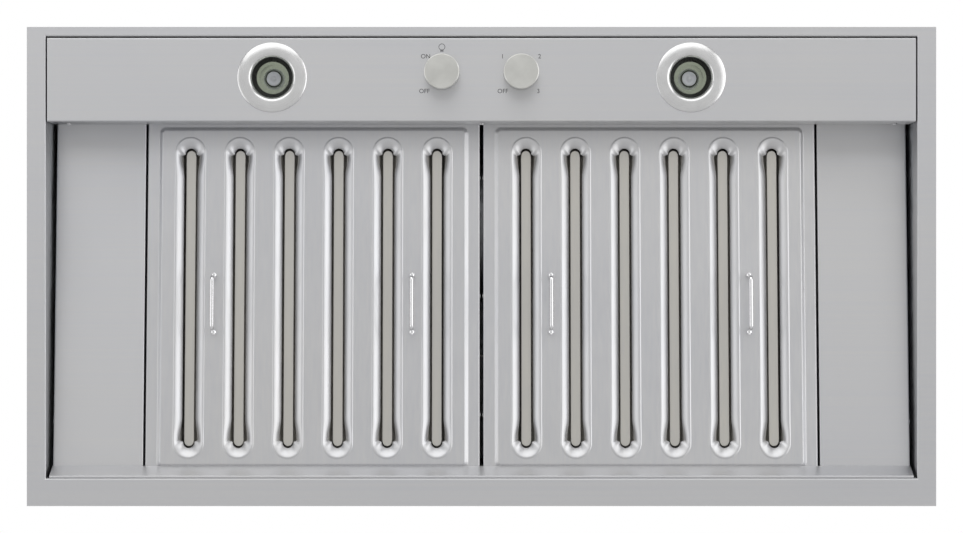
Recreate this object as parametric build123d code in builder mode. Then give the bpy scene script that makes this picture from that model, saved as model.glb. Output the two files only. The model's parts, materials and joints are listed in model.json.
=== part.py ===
from build123d import *
from math import acos, atan2, cos, degrees, radians, sin, tan
import os

os.makedirs("parts", exist_ok=True)

# A range hood insert, in millimetres.  +Z is up towards the duct, -Y is the front, where the user
# stands, and +X is the user's right.  The origin is the centre of the mounting flange, on the plane
# where the flange's upper face meets the underside of the cabinet.

# ---- Shell ----
overall_width = 1152.0
overall_depth = 607.0
body_height = 305.0
flange_side = 24.0
flange_front = 12.0
flange_rear = 35.0
sheet = 1.2
bend_radius = 2.0
flange_lip = 30.0
wall_rise = 3.0
corner_tab = 14.0
skirt = 16.0
top_edge = 0.9
skirt_screw_inset = 150.0
seam_gap = 25.0
seam_flange = 12.0
mount_hole_radius = 2.75
mount_hole_spacing_y = 400.0
mount_hole_spacing_z = 170.0
mount_hole_low = 65.0

# ---- Filter bay: its floor slopes down from the control panel to the rear ledge ----
bay_front_height = 62.0
bay_rear_height = 28.0
front_lip = 12.0
ledge_depth = 14.5
ledge_leg = 22.0
ledge_toe = 3.0
ledge_bend = 1.4
ledge_wall_gap = 4.0

# ---- Control panel ----
panel_gap = 1.6
panel_depth = 106.4
panel_return = 18.0
strap_width = 20.0
strap_sheet = 1.5
strap_height = 24.0
strap_tab = 14.0
strap_inset = 22.0
screw_radius = 2.0
screw_head_radius = 3.6
screw_head_height = 2.2
screw_tail = 4.0
hole_clearance = 0.15

# ---- Lamps ----
lamp_spacing = 530.6
lamp_setback = 50.1
trim_radius = 44.3
trim_height = 3.2
trim_edge = 1.1
trim_bevel = 7.0
trim_opening = 26.0
throat_radius = 20.8
throat_steps = 4
throat_depth = 12.0
throat_tread = 0.7
lamp_gap = 0.2
lamp_radius = 25.0
lamp_height = 44.0
lamp_rim_height = 3.5
lamp_shoulder_radius = 19.0
lamp_shoulder_height = 13.0
lamp_bowl_height = 29.0
lamp_neck_radius = 8.0
lamp_capsule_radius = 4.2
lamp_wall = 1.0
can_radius = 31.0
can_neck_radius = 20.0
can_shoulder = 46.0
can_sheet = 1.0
holder_radius = 13.0
holder_height = 20.0

# ---- Controls ----
knob_spacing = 100.4
knob_setback = 43.9
knob_radius = 22.2
knob_height = 20.0
knob_wall = 2.2
knob_chamfer = 1.0
knob_clearance = 0.8
notch_width = 1.6
notch_length = 9.0
notch_depth = 0.7
shaft_radius = 3.0
shaft_flat = 1.0
running_fit = 0.05
bushing_radius = 5.0
bushing_tail = 1.0
boss_gap = 3.0
boss_wall = 3.6
pointer_angle = 135.0
terminal_width = 6.3
terminal_sheet = 0.8
terminal_height = 8.0
nut_across = 14.0
nut_height = 2.4
switch_size = 28.0
switch_height = 20.0

# ---- Filters ----
centre_gap = 4.4
filter_width = 428.0
side_gap = 2.4
rear_gap = 2.0
front_overlap = 9.0
pan_height = 20.0
pan_sheet = 0.8
pan_corner = 3.0
border = 15.2
plateau_rise = 3.5
plateau_step = 2.6
plateau_corner = 8.0
slot_count = 6
slot_side_margin = 40.0
slot_end_margin = 9.0
rim_half_width = 20.3
throat_half_width = 10.4
rim_bead = 1.1
bead_radius = 2.0
rim_depth = 9.0
rear_pan_height = 12.0
rib_half_width = 10.0
rib_crown_half_width = 6.0
rib_height = 5.2
vent_half_width = 11.0
pan_clearance = 0.3
rivet_radius = 2.0
rivet_head_radius = 3.2
rivet_head_height = 0.9

# ---- Filter handles ----
wire_radius = 1.6
bail_span = 66.0
bail_drop = 24.0
bail_bend = 5.0
bail_pin_bend = 1.92
bail_setback = 11.0
lug_thickness = 3.0
lug_width = 8.0
lug_height = 6.4
lug_gap = 0.5

# ---- Side fillers ----
filler_sheet = 1.0
filler_leg = 12.0
filler_wall_gap = 4.0

# ---- Blower ----
scroll_radius = 88.0
scroll_growth = 10.0
outlet_neck = 27.0
scroll_width = 160.0
scroll_sheet = 1.0
wheel_radius = 78.0
wheel_width = 146.0
wheel_ring_width = 15.0
wheel_sheet = 1.5
blade_count = 36
blade_pitch_angle = 25.0
hub_radius = 14.0
hub_length = 30.0
inlet_radius = 60.0
inlet_lip = 5.0
blower_flange = 14.0
axle_radius = 4.0
motor_radius = 48.0
motor_length = 80.0
motor_gap = 30.0
motor_bearing = 14.0
motor_corner = 6.0
motor_vent_count = 24
motor_vent_width = 5.0
motor_vent_depth = 2.0
motor_vent_length = 32.0
bracket_sheet = 2.0
bracket_hole_radius = 12.0
bracket_leg_radius = 71.0
bracket_leg_width = 16.0
capacitor_radius = 17.5
capacitor_length = 60.0
capacitor_corner = 2.0
capacitor_gap = 0.3
capacitor_spot_x = -330.0
capacitor_spot_y = 120.0
clamp_width = 14.0
clamp_sheet = 1.0

# ---- Duct collar and backdraft damper ----
collar_radius = 126.5
collar_height = 60.0
collar_sheet = 0.9
collar_flange = 17.0
collar_screw_count = 6
damper_height = 36.0
damper_rod_radius = 2.0
rod_recess = 0.1
flap_sheet = 0.8
flap_edge_gap = 1.6
knuckle_radius = 3.2
knuckle_length = 26.0
knuckle_pitch = 56.0
flap_hinge_gap = 3.8
stop_size = 8.0

# ---- Junction box ----
box_width = 110.0
box_depth = 90.0
box_height = 50.0
box_sheet = 1.0
box_spot_x = 330.0
box_spot_y = 120.0
cover_screw_inset = 8.8
gland_radius = 10.0
gland_nut_radius = 14.0
gland_bore_radius = 5.5
gland_height = 22.0

# ---- Places worked out from the sizes above ----
opening_side = overall_width / 2 - flange_side
opening_front = -overall_depth / 2 + flange_front
opening_rear = overall_depth / 2 - flange_rear
opening_middle = (opening_front + opening_rear) / 2
opening_width = 2 * opening_side
opening_depth = opening_rear - opening_front
wall_side = opening_side + sheet
wall_front = opening_front - sheet
wall_rear = opening_rear + sheet
body_width = 2 * (wall_side + sheet)
body_depth = wall_rear - wall_front + 2 * sheet
ceiling = body_height - sheet
wall_height = ceiling - wall_rise
panel_front = opening_front + panel_gap
panel_rear = panel_front + panel_depth
panel_half_width = opening_side - panel_gap
ledge_front = opening_rear - ledge_depth
slope = atan2(bay_front_height - bay_rear_height, ledge_front - panel_rear)
filter_front = -front_overlap
filter_rear = (opening_rear - rear_gap - panel_rear) / cos(slope)
filter_length = filter_rear - filter_front
filter_middle = (filter_front + filter_rear) / 2
filter_spot = (centre_gap + filter_width) / 2
plateau_width = filter_width - 2 * border
plateau_length = filter_length - 2 * border
slot_pitch = (plateau_width - 2 * slot_side_margin) / (slot_count - 1)
rim_length = plateau_length - 2 * slot_end_margin
rim_straight = rim_length - 2 * rim_half_width
filler_inner = centre_gap / 2 + filter_width + side_gap
filler_outer = opening_side - filler_wall_gap
lamp_row = panel_front + lamp_setback
knob_row = panel_front + knob_setback

# The bay plane carries the undersides of the filters and fillers.  Its origin is the control
# panel's rear edge, its local y runs to the rear down the slope, and its local z points into the hood.
bay = Plane(
    origin=(0, panel_rear, bay_front_height),
    x_dir=(1, 0, 0),
    z_dir=(0, sin(slope), cos(slope)),
)

standing = (Align.CENTER, Align.CENTER, Align.MIN)
hanging = (Align.CENTER, Align.CENTER, Align.MAX)
sides = {"left": -1, "right": 1}


def write(piece, name):
    """Label a finished piece and write its STEP file."""
    piece.part.label = name
    export_step(piece.part, f"parts/{name}.step")


def pan_screws(planes, grip):
    """Pan head screws: each plane lies on the outer sheet with its normal pointing out."""
    with BuildPart() as screws:
        with Locations(*planes):
            Cylinder(screw_head_radius, screw_head_height, align=standing)
            Cylinder(screw_radius, grip + screw_tail, align=hanging)
        heads = screws.edges().filter_by(GeomType.CIRCLE).filter_by(
            lambda edge: abs(edge.radius - screw_head_radius) < 0.01
        )
        fillet(heads, radius=screw_head_height / 3)
    return screws


def screw_holes(planes, grip):
    """Cut the clearance holes of a set of screws out of the current part."""
    with Locations(*planes):
        Cylinder(screw_radius + hole_clearance, 2 * grip, mode=Mode.SUBTRACT)


# ==== Shell ====
skirt_x = body_width / 2 + sheet
skirt_y = body_depth / 2 + sheet
skirt_screw_height = body_height - skirt / 2
skirt_screws_x = skirt_x - skirt_screw_inset
skirt_screws_y = skirt_y - skirt_screw_inset
skirt_planes = [
    Plane(origin=(x, opening_middle + way * skirt_y, skirt_screw_height), z_dir=(0, way, 0))
    for way in (-1, 1)
    for x in (-skirt_screws_x, 0, skirt_screws_x)
] + [
    Plane(origin=(way * skirt_x, opening_middle + y, skirt_screw_height), z_dir=(way, 0, 0))
    for way in (-1, 1)
    for y in (-skirt_screws_y, skirt_screws_y)
]
skirt_grip = 2 * sheet

# The visible border: a flat flange whose inner edge is bent up all round.
with BuildPart() as flange_frame:
    with BuildSketch(Plane.XY.offset(-sheet)):
        Rectangle(overall_width, overall_depth)
        with Locations((0, opening_middle)):
            Rectangle(opening_width, opening_depth, mode=Mode.SUBTRACT)
    extrude(amount=sheet)
    with BuildSketch(Plane.XY):
        with Locations((0, opening_middle)):
            Rectangle(opening_width + 2 * sheet, opening_depth + 2 * sheet)
            Rectangle(opening_width, opening_depth, mode=Mode.SUBTRACT)
    extrude(amount=flange_lip)
    underside = flange_frame.faces().sort_by(Axis.Z)[0]
    fillet(underside.inner_wires()[0].edges(), radius=bend_radius)
write(flange_frame, "flange_frame")


def cross_wall(way):
    """The front wall (way -1) or the rear wall (way 1), lapped on the flange's lip, clear of its seat."""
    with BuildPart() as wall:
        with Locations((0, opening_middle + way * (body_depth - sheet) / 2, ceiling)):
            Box(body_width, sheet, wall_height, align=hanging)
        screw_holes(skirt_planes, skirt_grip)
    return wall


write(cross_wall(-1), "front_wall")
write(cross_wall(1), "rear_wall")


def side_wall(way):
    """A side wall with a tab folded in at each end and four holes for fixing to the cabinet."""
    tab_height = ceiling - flange_lip - 2 * sheet
    inner_depth = body_depth - 2 * sheet
    with BuildPart() as wall:
        with Locations((way * (body_width - sheet) / 2, opening_middle, ceiling)):
            Box(sheet, inner_depth, wall_height, align=hanging)
        tab_x = way * (body_width / 2 - corner_tab / 2)
        tab_y = (inner_depth - sheet) / 2
        with Locations((0, opening_middle, ceiling)):
            with Locations((tab_x, -tab_y, 0), (tab_x, tab_y, 0)):
                Box(corner_tab, sheet, tab_height, align=hanging)
        mount_plane = Plane(
            origin=(way * body_width / 2, 0, mount_hole_low + mount_hole_spacing_z / 2),
            x_dir=(0, 1, 0),
            z_dir=(way, 0, 0),
        )
        with Locations(mount_plane):
            with GridLocations(mount_hole_spacing_y, mount_hole_spacing_z, 2, 2):
                Cylinder(mount_hole_radius, 4 * sheet, mode=Mode.SUBTRACT)
        screw_holes(skirt_planes, skirt_grip)
    return wall


for side_name, side in sides.items():
    write(side_wall(side), f"{side_name}_wall")

# ==== Blower outlet and duct places, which the top panel shares ====
scroll_middle_radius = scroll_radius + scroll_growth
scroll_last_radius = scroll_radius + 2 * scroll_growth
outlet_depth = scroll_growth + scroll_last_radius
outlet_width = scroll_width
duct_y = opening_middle
first_centre = (duct_y - outlet_depth / 2, ceiling - outlet_neck - scroll_radius)
second_centre = (first_centre[0] + scroll_growth, first_centre[1])
third_centre = (second_centre[0], second_centre[1] + scroll_growth)
wheel_y = first_centre[0] + scroll_growth / 2
wheel_z = first_centre[1] + scroll_growth / 2
collar_screw_radius = collar_radius + collar_flange / 2
collar_grip = collar_sheet + sheet
collar_screw_planes = [
    Plane(
        origin=(
            collar_screw_radius * cos(radians(360 / collar_screw_count * (turn + 0.5))),
            duct_y + collar_screw_radius * sin(radians(360 / collar_screw_count * (turn + 0.5))),
            body_height + collar_sheet,
        ),
        z_dir=(0, 0, 1),
    )
    for turn in range(collar_screw_count)
]
blower_screw_x = scroll_width / 2 + scroll_sheet + blower_flange / 2
blower_screw_planes = [
    Plane(origin=(x, duct_y + y, ceiling - scroll_sheet), z_dir=(0, 0, -1))
    for x in (-blower_screw_x, blower_screw_x)
    for y in (-outlet_depth / 3, outlet_depth / 3)
]
blower_grip = scroll_sheet + sheet
gland_hole_radius = gland_radius + hole_clearance
seam_x = box_spot_x - box_width / 2 - seam_gap


def top_sheet(side_x):
    """Add a sheet of the top to the current part: from the seam, where it turns down, to a side."""
    toward = 1 if side_x > seam_x else -1
    with Locations(((seam_x + side_x) / 2, opening_middle, body_height)):
        Box(abs(side_x - seam_x), 2 * skirt_y, sheet, align=hanging)
    with Locations((seam_x + toward * sheet / 2, opening_middle, ceiling)):
        Box(sheet, body_depth - 2 * seam_flange, seam_flange, align=hanging)


# Two sheets close the top. They meet at a seam of two flanges beside the junction box.
with BuildPart() as top_panel:
    top_sheet(-skirt_x)
    fillet(top_panel.edges().group_by(Axis.Z)[-1], radius=top_edge)
    with Locations((0, duct_y, body_height)):
        Box(outlet_width, outlet_depth - 2 * scroll_sheet, 4 * sheet, mode=Mode.SUBTRACT)
    screw_holes(collar_screw_planes, collar_grip)
    screw_holes(blower_screw_planes, blower_grip)
write(top_panel, "top_panel")
with BuildPart() as wiring_panel:
    top_sheet(skirt_x)
    fillet(wiring_panel.edges().group_by(Axis.Z)[-1], radius=top_edge)
    with Locations((box_spot_x, box_spot_y, body_height)):
        Cylinder(gland_hole_radius, 4 * sheet, mode=Mode.SUBTRACT)
write(wiring_panel, "wiring_panel")

# The skirt is spot welded under the top sheets' edges, laps the walls and is screwed to them.
with BuildPart() as top_skirt:
    with Locations((0, opening_middle, ceiling)):
        Box(2 * skirt_x, 2 * skirt_y, skirt - sheet, align=hanging)
        Box(body_width, body_depth, skirt - sheet, align=hanging, mode=Mode.SUBTRACT)
    screw_holes(skirt_planes, skirt_grip)
write(top_skirt, "top_skirt")
write(pan_screws(skirt_planes + collar_screw_planes + blower_screw_planes, skirt_grip), "top_screws")


# ==== Control panel ====
strap_spots = (-(panel_half_width - strap_inset), 0, panel_half_width - strap_inset)
panel_screw_height = strap_height + strap_tab / 2
panel_screw_planes = [
    Plane(origin=(x, panel_rear, panel_screw_height), z_dir=(0, 1, 0)) for x in strap_spots
]
panel_grip = sheet + strap_sheet
bay_front_seat = (panel_rear, bay_front_height)
front_lip_end = (panel_rear - front_lip, bay_front_height + front_lip * tan(slope))

# A folded tray: front return, flat face, tall rear return, and a lip that carries the filters.
with BuildPart() as control_panel:
    with BuildSketch(Plane.YZ):
        with BuildLine():
            FilletPolyline(
                (panel_front, panel_return),
                (panel_front, -sheet),
                (panel_rear, -sheet),
                bay_front_seat,
                front_lip_end,
                radius=bend_radius,
            )
            offset(amount=sheet, side=Side.LEFT)
        make_face()
    extrude(amount=panel_half_width, both=True)
    end_x = panel_half_width - sheet / 2
    end_depth = panel_depth - 2 * bend_radius
    with Locations((0, (panel_front + panel_rear) / 2, 0)):
        with Locations((-end_x, 0, 0), (end_x, 0, 0)):
            Box(sheet, end_depth, panel_return, align=standing)
    with Locations((-lamp_spacing / 2, lamp_row, 0), (lamp_spacing / 2, lamp_row, 0)):
        Cylinder(can_radius - can_sheet, 4 * sheet, mode=Mode.SUBTRACT)
    with Locations((-knob_spacing / 2, knob_row, 0), (knob_spacing / 2, knob_row, 0)):
        Cylinder(bushing_radius + hole_clearance, 4 * sheet, mode=Mode.SUBTRACT)
    screw_holes(panel_screw_planes, panel_grip)
write(control_panel, "control_panel")

# Three folded straps run from the flange lip to the panel's rear return and carry it.
with BuildPart() as panel_straps:
    for strap_x in strap_spots:
        with BuildSketch(Plane.YZ.offset(strap_x)):
            with BuildLine():
                FilletPolyline(
                    (opening_front, strap_height + strap_tab),
                    (opening_front, strap_height),
                    (panel_rear - sheet, strap_height),
                    (panel_rear - sheet, strap_height + strap_tab),
                    radius=bend_radius,
                )
                offset(amount=strap_sheet, side=Side.LEFT)
            make_face()
    extrude(amount=strap_width / 2, both=True)
    screw_holes(panel_screw_planes, panel_grip)
write(panel_straps, "panel_straps")
write(pan_screws(panel_screw_planes, panel_grip), "panel_screws")

# ==== Rear ledge: a leg against the flange lip, a sloped face and a lip under the filters ====
ledge_lip_end_y = opening_rear - sheet - ledge_depth / 5
with BuildPart() as rear_ledge:
    with BuildSketch(Plane.YZ):
        with BuildLine():
            FilletPolyline(
                (ledge_lip_end_y, bay_rear_height - (ledge_lip_end_y - ledge_front) * tan(slope)),
                (ledge_front, bay_rear_height),
                (opening_rear - ledge_toe, sheet),
                (opening_rear, sheet),
                (opening_rear, ledge_leg),
                radius=ledge_bend,
            )
            offset(amount=sheet, side=Side.LEFT)
        make_face()
    extrude(amount=opening_side - ledge_wall_gap, both=True)
write(rear_ledge, "rear_ledge")


# ==== Side fillers: folded trays that close the bay beside the filters ====
def side_filler(way):
    """A filler lies on the front lip and the rear ledge as the filters do."""
    near = min(way * filler_inner, way * filler_outer)
    far = max(way * filler_inner, way * filler_outer)
    section = Plane(
        origin=bay.from_local_coords((0, filter_front, 0)), x_dir=(1, 0, 0), z_dir=-bay.y_dir
    )
    with BuildPart() as filler:
        with BuildSketch(section):
            with BuildLine():
                FilletPolyline(
                    (near, filler_leg), (near, 0), (far, 0), (far, filler_leg), radius=bend_radius
                )
                offset(amount=filler_sheet, side=Side.LEFT)
            make_face()
        extrude(amount=-filter_length)
    return filler


for side_name, side in sides.items():
    write(side_filler(side), f"{side_name}_filler")


# ==== Baffle filters ====
slot_offsets = [(turn - (slot_count - 1) / 2) * slot_pitch for turn in range(slot_count)]
vent_offsets = [(turn - slot_count / 2) * slot_pitch for turn in range(slot_count + 1)]
rim_top = rim_depth - plateau_rise - rim_bead
bead_turn = degrees(acos(1 - rim_bead / (2 * bead_radius)))
bead_run = 2 * bead_radius * sin(radians(bead_turn))
roll_radius = rim_half_width - throat_half_width - bead_run
roll_start = roll_radius - plateau_rise - rim_bead
rear_pan_width = filter_width - 2 * (pan_sheet + pan_clearance)
rear_pan_length = filter_length - 2 * (pan_sheet + pan_clearance)
rear_pan_corner = pan_corner - pan_sheet - pan_clearance
rear_pan_edge = pan_height - rear_pan_height
rivet_rows = [-filter_length / 3, 0, filter_length / 3]
rivet_grip = 2 * pan_sheet + pan_clearance
rivet_height = rear_pan_height + pan_sheet + rear_pan_edge / 2 - pan_sheet / 2


def tapered_sections(width, length, corner, low, high, low_inset):
    """The two ends of a block with rounded corners, drawn in by low_inset at its lower end."""
    with BuildSketch(Plane.XY.offset(high)) as upper:
        RectangleRounded(width, length, corner)
    with BuildSketch(Plane.XY.offset(low)) as lower:
        RectangleRounded(width - 2 * low_inset, length - 2 * low_inset, corner - low_inset)
    return [upper.sketch.face(), lower.sketch.face()]


# One slot's rolled rim, about the slot's centre: a bead, then a roll that turns up into the hood.
with BuildPart() as slot_rim:
    with BuildSketch(Plane.XZ) as rim_section:
        with BuildLine():
            throat = Line((throat_half_width, rim_top), (throat_half_width, roll_start))
            roll = JernArc(throat @ 1, throat % 1, roll_radius, 90)
            crest = JernArc(roll @ 1, roll % 1, bead_radius, bead_turn)
            foot = JernArc(crest @ 1, crest % 1, bead_radius, -bead_turn)
            Line(foot @ 1, (rim_half_width + pan_sheet, -plateau_rise))
            offset(amount=pan_sheet, side=Side.LEFT)
        make_face()
    extrude(amount=rim_straight / 2, both=True)
    with BuildSketch(Plane.XZ.offset(-rim_straight / 2)):
        add(rim_section.sketch_local)
    revolve(axis=Axis((0, rim_straight / 2, 0), (0, 0, 1)), revolution_arc=90)
    mirror(about=Plane.YZ)
    mirror(about=Plane.XZ)

# One rib of the rear pan, about its centre: a raised strip that stands inside a slot's rim.
with BuildPart() as rear_rib:
    with BuildSketch(Plane.XY.offset(rear_pan_height)):
        SlotOverall(rim_length - 2 * rim_half_width, 2 * rib_half_width, rotation=90)
    with BuildSketch(Plane.XY.offset(rear_pan_height - rib_height)):
        crown_length = rim_length - 2 * rim_half_width - 2 * (rib_half_width - rib_crown_half_width)
        SlotOverall(crown_length, 2 * rib_crown_half_width, rotation=90)
    loft(ruled=True)

with BuildPart() as rib_hollow:
    with BuildSketch(Plane.XY.offset(rear_pan_height + pan_sheet)):
        hollow_length = rim_length - 2 * rim_half_width - 2 * pan_sheet
        SlotOverall(hollow_length, 2 * (rib_half_width - pan_sheet), rotation=90)
    with BuildSketch(Plane.XY.offset(rear_pan_height - rib_height + pan_sheet)):
        hollow_end = hollow_length - 2 * (rib_half_width - rib_crown_half_width)
        SlotOverall(hollow_end, 2 * (rib_crown_half_width - pan_sheet), rotation=90)
    loft(ruled=True)

# The face pan, about the filter's centre, with its underside on z = 0.
with BuildPart() as face_pan:
    Box(filter_width, filter_length, pan_height, align=standing)
    fillet(face_pan.edges().filter_by(Axis.Z), radius=pan_corner)
    fillet(face_pan.edges().group_by(Axis.Z)[0], radius=bend_radius)
    with BuildSketch(Plane.XY.offset(pan_sheet)):
        RectangleRounded(
            filter_width - 2 * pan_sheet, filter_length - 2 * pan_sheet, pan_corner - pan_sheet
        )
    extrude(amount=pan_height, mode=Mode.SUBTRACT)
    plateau = (plateau_width, plateau_length, plateau_corner, -plateau_rise, 0, plateau_step)
    loft(sections=tapered_sections(*plateau))
    hollow = (
        plateau_width - 2 * pan_sheet,
        plateau_length - 2 * pan_sheet,
        plateau_corner - pan_sheet,
        pan_sheet - plateau_rise,
        pan_sheet,
        plateau_step,
    )
    loft(sections=tapered_sections(*hollow), mode=Mode.SUBTRACT)
    with BuildSketch(Plane.XY.offset(-plateau_rise)):
        with Locations(*[(x, 0) for x in slot_offsets]):
            SlotOverall(rim_length, 2 * rim_half_width, rotation=90)
    extrude(amount=pan_sheet, mode=Mode.SUBTRACT)
    with Locations(*[(x, 0, 0) for x in slot_offsets]):
        add(slot_rim.part)
    rivet_x = filter_width / 2
    rivet_planes = [
        Plane(origin=(way * rivet_x, y, rivet_height), z_dir=(way, 0, 0))
        for way in (-1, 1)
        for y in rivet_rows
    ]
    with Locations(*rivet_planes):
        Cylinder(rivet_radius + hole_clearance, 4 * rivet_grip, mode=Mode.SUBTRACT)

# The rear pan nests in the face pan; its ribs make the air turn twice and drop its grease.
with BuildPart() as rear_pan:
    with BuildSketch(Plane.XY.offset(rear_pan_height)):
        RectangleRounded(rear_pan_width, rear_pan_length, rear_pan_corner)
    extrude(amount=rear_pan_edge)
    with BuildSketch(Plane.XY.offset(rear_pan_height + pan_sheet)):
        RectangleRounded(
            rear_pan_width - 2 * pan_sheet,
            rear_pan_length - 2 * pan_sheet,
            rear_pan_corner - pan_sheet,
        )
    extrude(amount=rear_pan_edge, mode=Mode.SUBTRACT)
    with Locations(*[(x, 0, 0) for x in slot_offsets]):
        add(rear_rib.part)
        add(rib_hollow.part, mode=Mode.SUBTRACT)
    with BuildSketch(Plane.XY.offset(rear_pan_height)):
        with Locations(*[(x, 0) for x in vent_offsets]):
            SlotOverall(rim_straight, 2 * vent_half_width, rotation=90)
    extrude(amount=pan_sheet, mode=Mode.SUBTRACT)
    with Locations(*rivet_planes):
        Cylinder(rivet_radius + hole_clearance, 4 * rivet_grip, mode=Mode.SUBTRACT)

with BuildPart() as pan_rivets:
    with Locations(*rivet_planes):
        Cylinder(rivet_radius, rivet_grip, align=hanging)
        Cylinder(rivet_head_radius, rivet_head_height, align=standing)
        with Locations((0, 0, -rivet_grip)):
            Cylinder(rivet_head_radius, rivet_head_height, align=hanging)

# Handle lugs, riveted to the plateau, with a hole for the bail's pin.
bail_x = (slot_count / 2 - 1) * slot_pitch
lug_y = bail_span / 2 + wire_radius + lug_gap + lug_thickness / 2
lug_rise = lug_height - lug_width / 2
pivot_drop = plateau_rise + lug_rise
with BuildPart() as bail_lugs:
    for place_x in (-bail_x, bail_x):
        for place_y in (bail_setback - lug_y, bail_setback + lug_y):
            lug_plane = Plane(
                origin=(place_x, place_y, -pivot_drop), x_dir=(1, 0, 0), z_dir=(0, -1, 0)
            )
            with BuildSketch(lug_plane):
                Circle(lug_width / 2)
                with Locations((0, lug_rise / 2)):
                    Rectangle(lug_width, lug_rise)
                with Locations((0, lug_rise + lug_width / 2)):
                    Rectangle(lug_width, lug_width, mode=Mode.SUBTRACT)
                Circle(wire_radius + running_fit, mode=Mode.SUBTRACT)
    extrude(amount=lug_thickness / 2, both=True)

# A bail, about the filter's centre line: a wire with its ends turned out into the lugs.
pin_reach = lug_y + lug_thickness
with BuildPart() as bail:
    with BuildLine(Plane.YZ) as bail_path:
        FilletPolyline(
            (bail_setback - pin_reach, -pivot_drop),
            (bail_setback - bail_span / 2, -pivot_drop),
            (bail_setback - bail_span / 2, -pivot_drop - bail_drop),
            (bail_setback + bail_span / 2, -pivot_drop - bail_drop),
            (bail_setback + bail_span / 2, -pivot_drop),
            (bail_setback + pin_reach, -pivot_drop),
            radius=(bail_pin_bend, bail_bend, bail_bend, bail_pin_bend),
        )
    with BuildSketch(Plane(origin=bail_path.line @ 0, z_dir=bail_path.line % 0)):
        Circle(wire_radius)
    sweep()


def filter_copy(piece, name, shift_x, extra_x=0.0):
    """Write one filter piece, set down on the bay plane under its filter's centre."""
    with BuildPart(bay) as placed:
        with Locations((shift_x + extra_x, filter_middle, 0)):
            add(piece.part)
    write(placed, name)


for side_name, side in sides.items():
    spot = side * filter_spot
    filter_copy(face_pan, f"{side_name}_filter_face", spot)
    filter_copy(rear_pan, f"{side_name}_filter_rear_pan", spot)
    filter_copy(pan_rivets, f"{side_name}_filter_rivets", spot)
    filter_copy(bail_lugs, f"{side_name}_filter_lugs", spot)
    filter_copy(bail, f"{side_name}_filter_outer_bail", spot, side * bail_x)
    filter_copy(bail, f"{side_name}_filter_inner_bail", spot, -side * bail_x)


# ==== Lamps ====
def lamp_plane(way):
    """The underside of the control panel at a lamp's centre."""
    return Plane.XY.offset(-sheet).shift_origin((way * lamp_spacing / 2, lamp_row, -sheet))


def revolved(plane, points):
    """Turn a closed outline of (radius, height) points about the plane's normal."""
    with BuildPart() as turned:
        with BuildSketch(Plane(origin=plane.origin, x_dir=(1, 0, 0), z_dir=(0, -1, 0))):
            with BuildLine():
                Polyline(*points, close=True)
            make_face()
        revolve(axis=Axis(plane.origin, (0, 0, 1)))
    return turned


sleeve_radius = can_radius - can_sheet - 2 * hole_clearance
step_rise = throat_depth / throat_steps
step_inset = (trim_opening - throat_radius) / throat_steps
throat_profile = []
for turn in range(throat_steps):
    throat_profile.append((trim_opening - turn * step_inset, turn * step_rise))
    throat_profile.append((trim_opening - turn * step_inset, (turn + throat_tread) * step_rise))
trim_profile = [
    (sleeve_radius, 0),
    (trim_radius, 0),
    (trim_radius, -trim_edge),
    (trim_radius - trim_height, -trim_height),
    (trim_opening + trim_bevel, -trim_height),
    (trim_opening, -trim_edge),
    *throat_profile,
    (throat_radius, throat_depth),
    (sleeve_radius, throat_depth),
]
lamp_seat = throat_depth + lamp_gap
lamp_top = lamp_seat + lamp_height
bowl_top = lamp_seat + lamp_bowl_height
shoulder_top = lamp_seat + lamp_shoulder_height
lamp_profile = [
    (0, shoulder_top),
    (lamp_capsule_radius, shoulder_top),
    (lamp_capsule_radius, bowl_top - 2 * lamp_wall),
    (lamp_neck_radius, bowl_top - 2 * lamp_wall),
    (lamp_shoulder_radius - lamp_wall, shoulder_top - 2 * lamp_wall),
    (lamp_radius - lamp_wall, lamp_seat),
    (lamp_radius, lamp_seat),
    (lamp_radius, lamp_seat + lamp_rim_height),
    (lamp_shoulder_radius, shoulder_top),
    (lamp_neck_radius + lamp_wall, bowl_top),
    (lamp_neck_radius, lamp_top),
    (0, lamp_top),
]
holder_profile = [
    (0, lamp_top),
    (holder_radius, lamp_top),
    (holder_radius, lamp_top + holder_height),
    (0, lamp_top + holder_height),
]
can_top = lamp_top + holder_height
can_profile = [
    (can_radius - can_sheet, sheet),
    (trim_radius - 2 * can_sheet, sheet),
    (trim_radius - 2 * can_sheet, sheet + can_sheet),
    (can_radius, sheet + can_sheet),
    (can_radius, can_shoulder + can_sheet),
    (can_neck_radius + can_sheet, can_shoulder + can_sheet),
    (can_neck_radius + can_sheet, can_top + can_sheet),
    (0, can_top + can_sheet),
    (0, can_top),
    (can_neck_radius, can_top),
    (can_neck_radius, can_shoulder),
    (can_radius - can_sheet, can_shoulder),
]
for side_name, side in sides.items():
    seat = lamp_plane(side)
    write(revolved(seat, trim_profile), f"{side_name}_lamp_trim")
    write(revolved(seat, lamp_profile), f"{side_name}_lamp")
    write(revolved(seat, holder_profile), f"{side_name}_lamp_holder")
    write(revolved(seat, can_profile), f"{side_name}_lamp_can")

# ==== Rotary controls ====
knob_top = -sheet - knob_clearance
knob_face = knob_top - knob_height
shaft_tip = knob_face + knob_wall + 2 * running_fit
shaft_top = switch_height / 2
boss_end = -sheet - nut_height - bushing_tail - boss_gap


def d_section(radius, flat):
    """A round section with one flat, as on a switch shaft."""
    Circle(radius)
    with Locations((0, radius - flat)):
        Rectangle(2 * radius, 2 * flat, align=(Align.CENTER, Align.MIN), mode=Mode.SUBTRACT)


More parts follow.
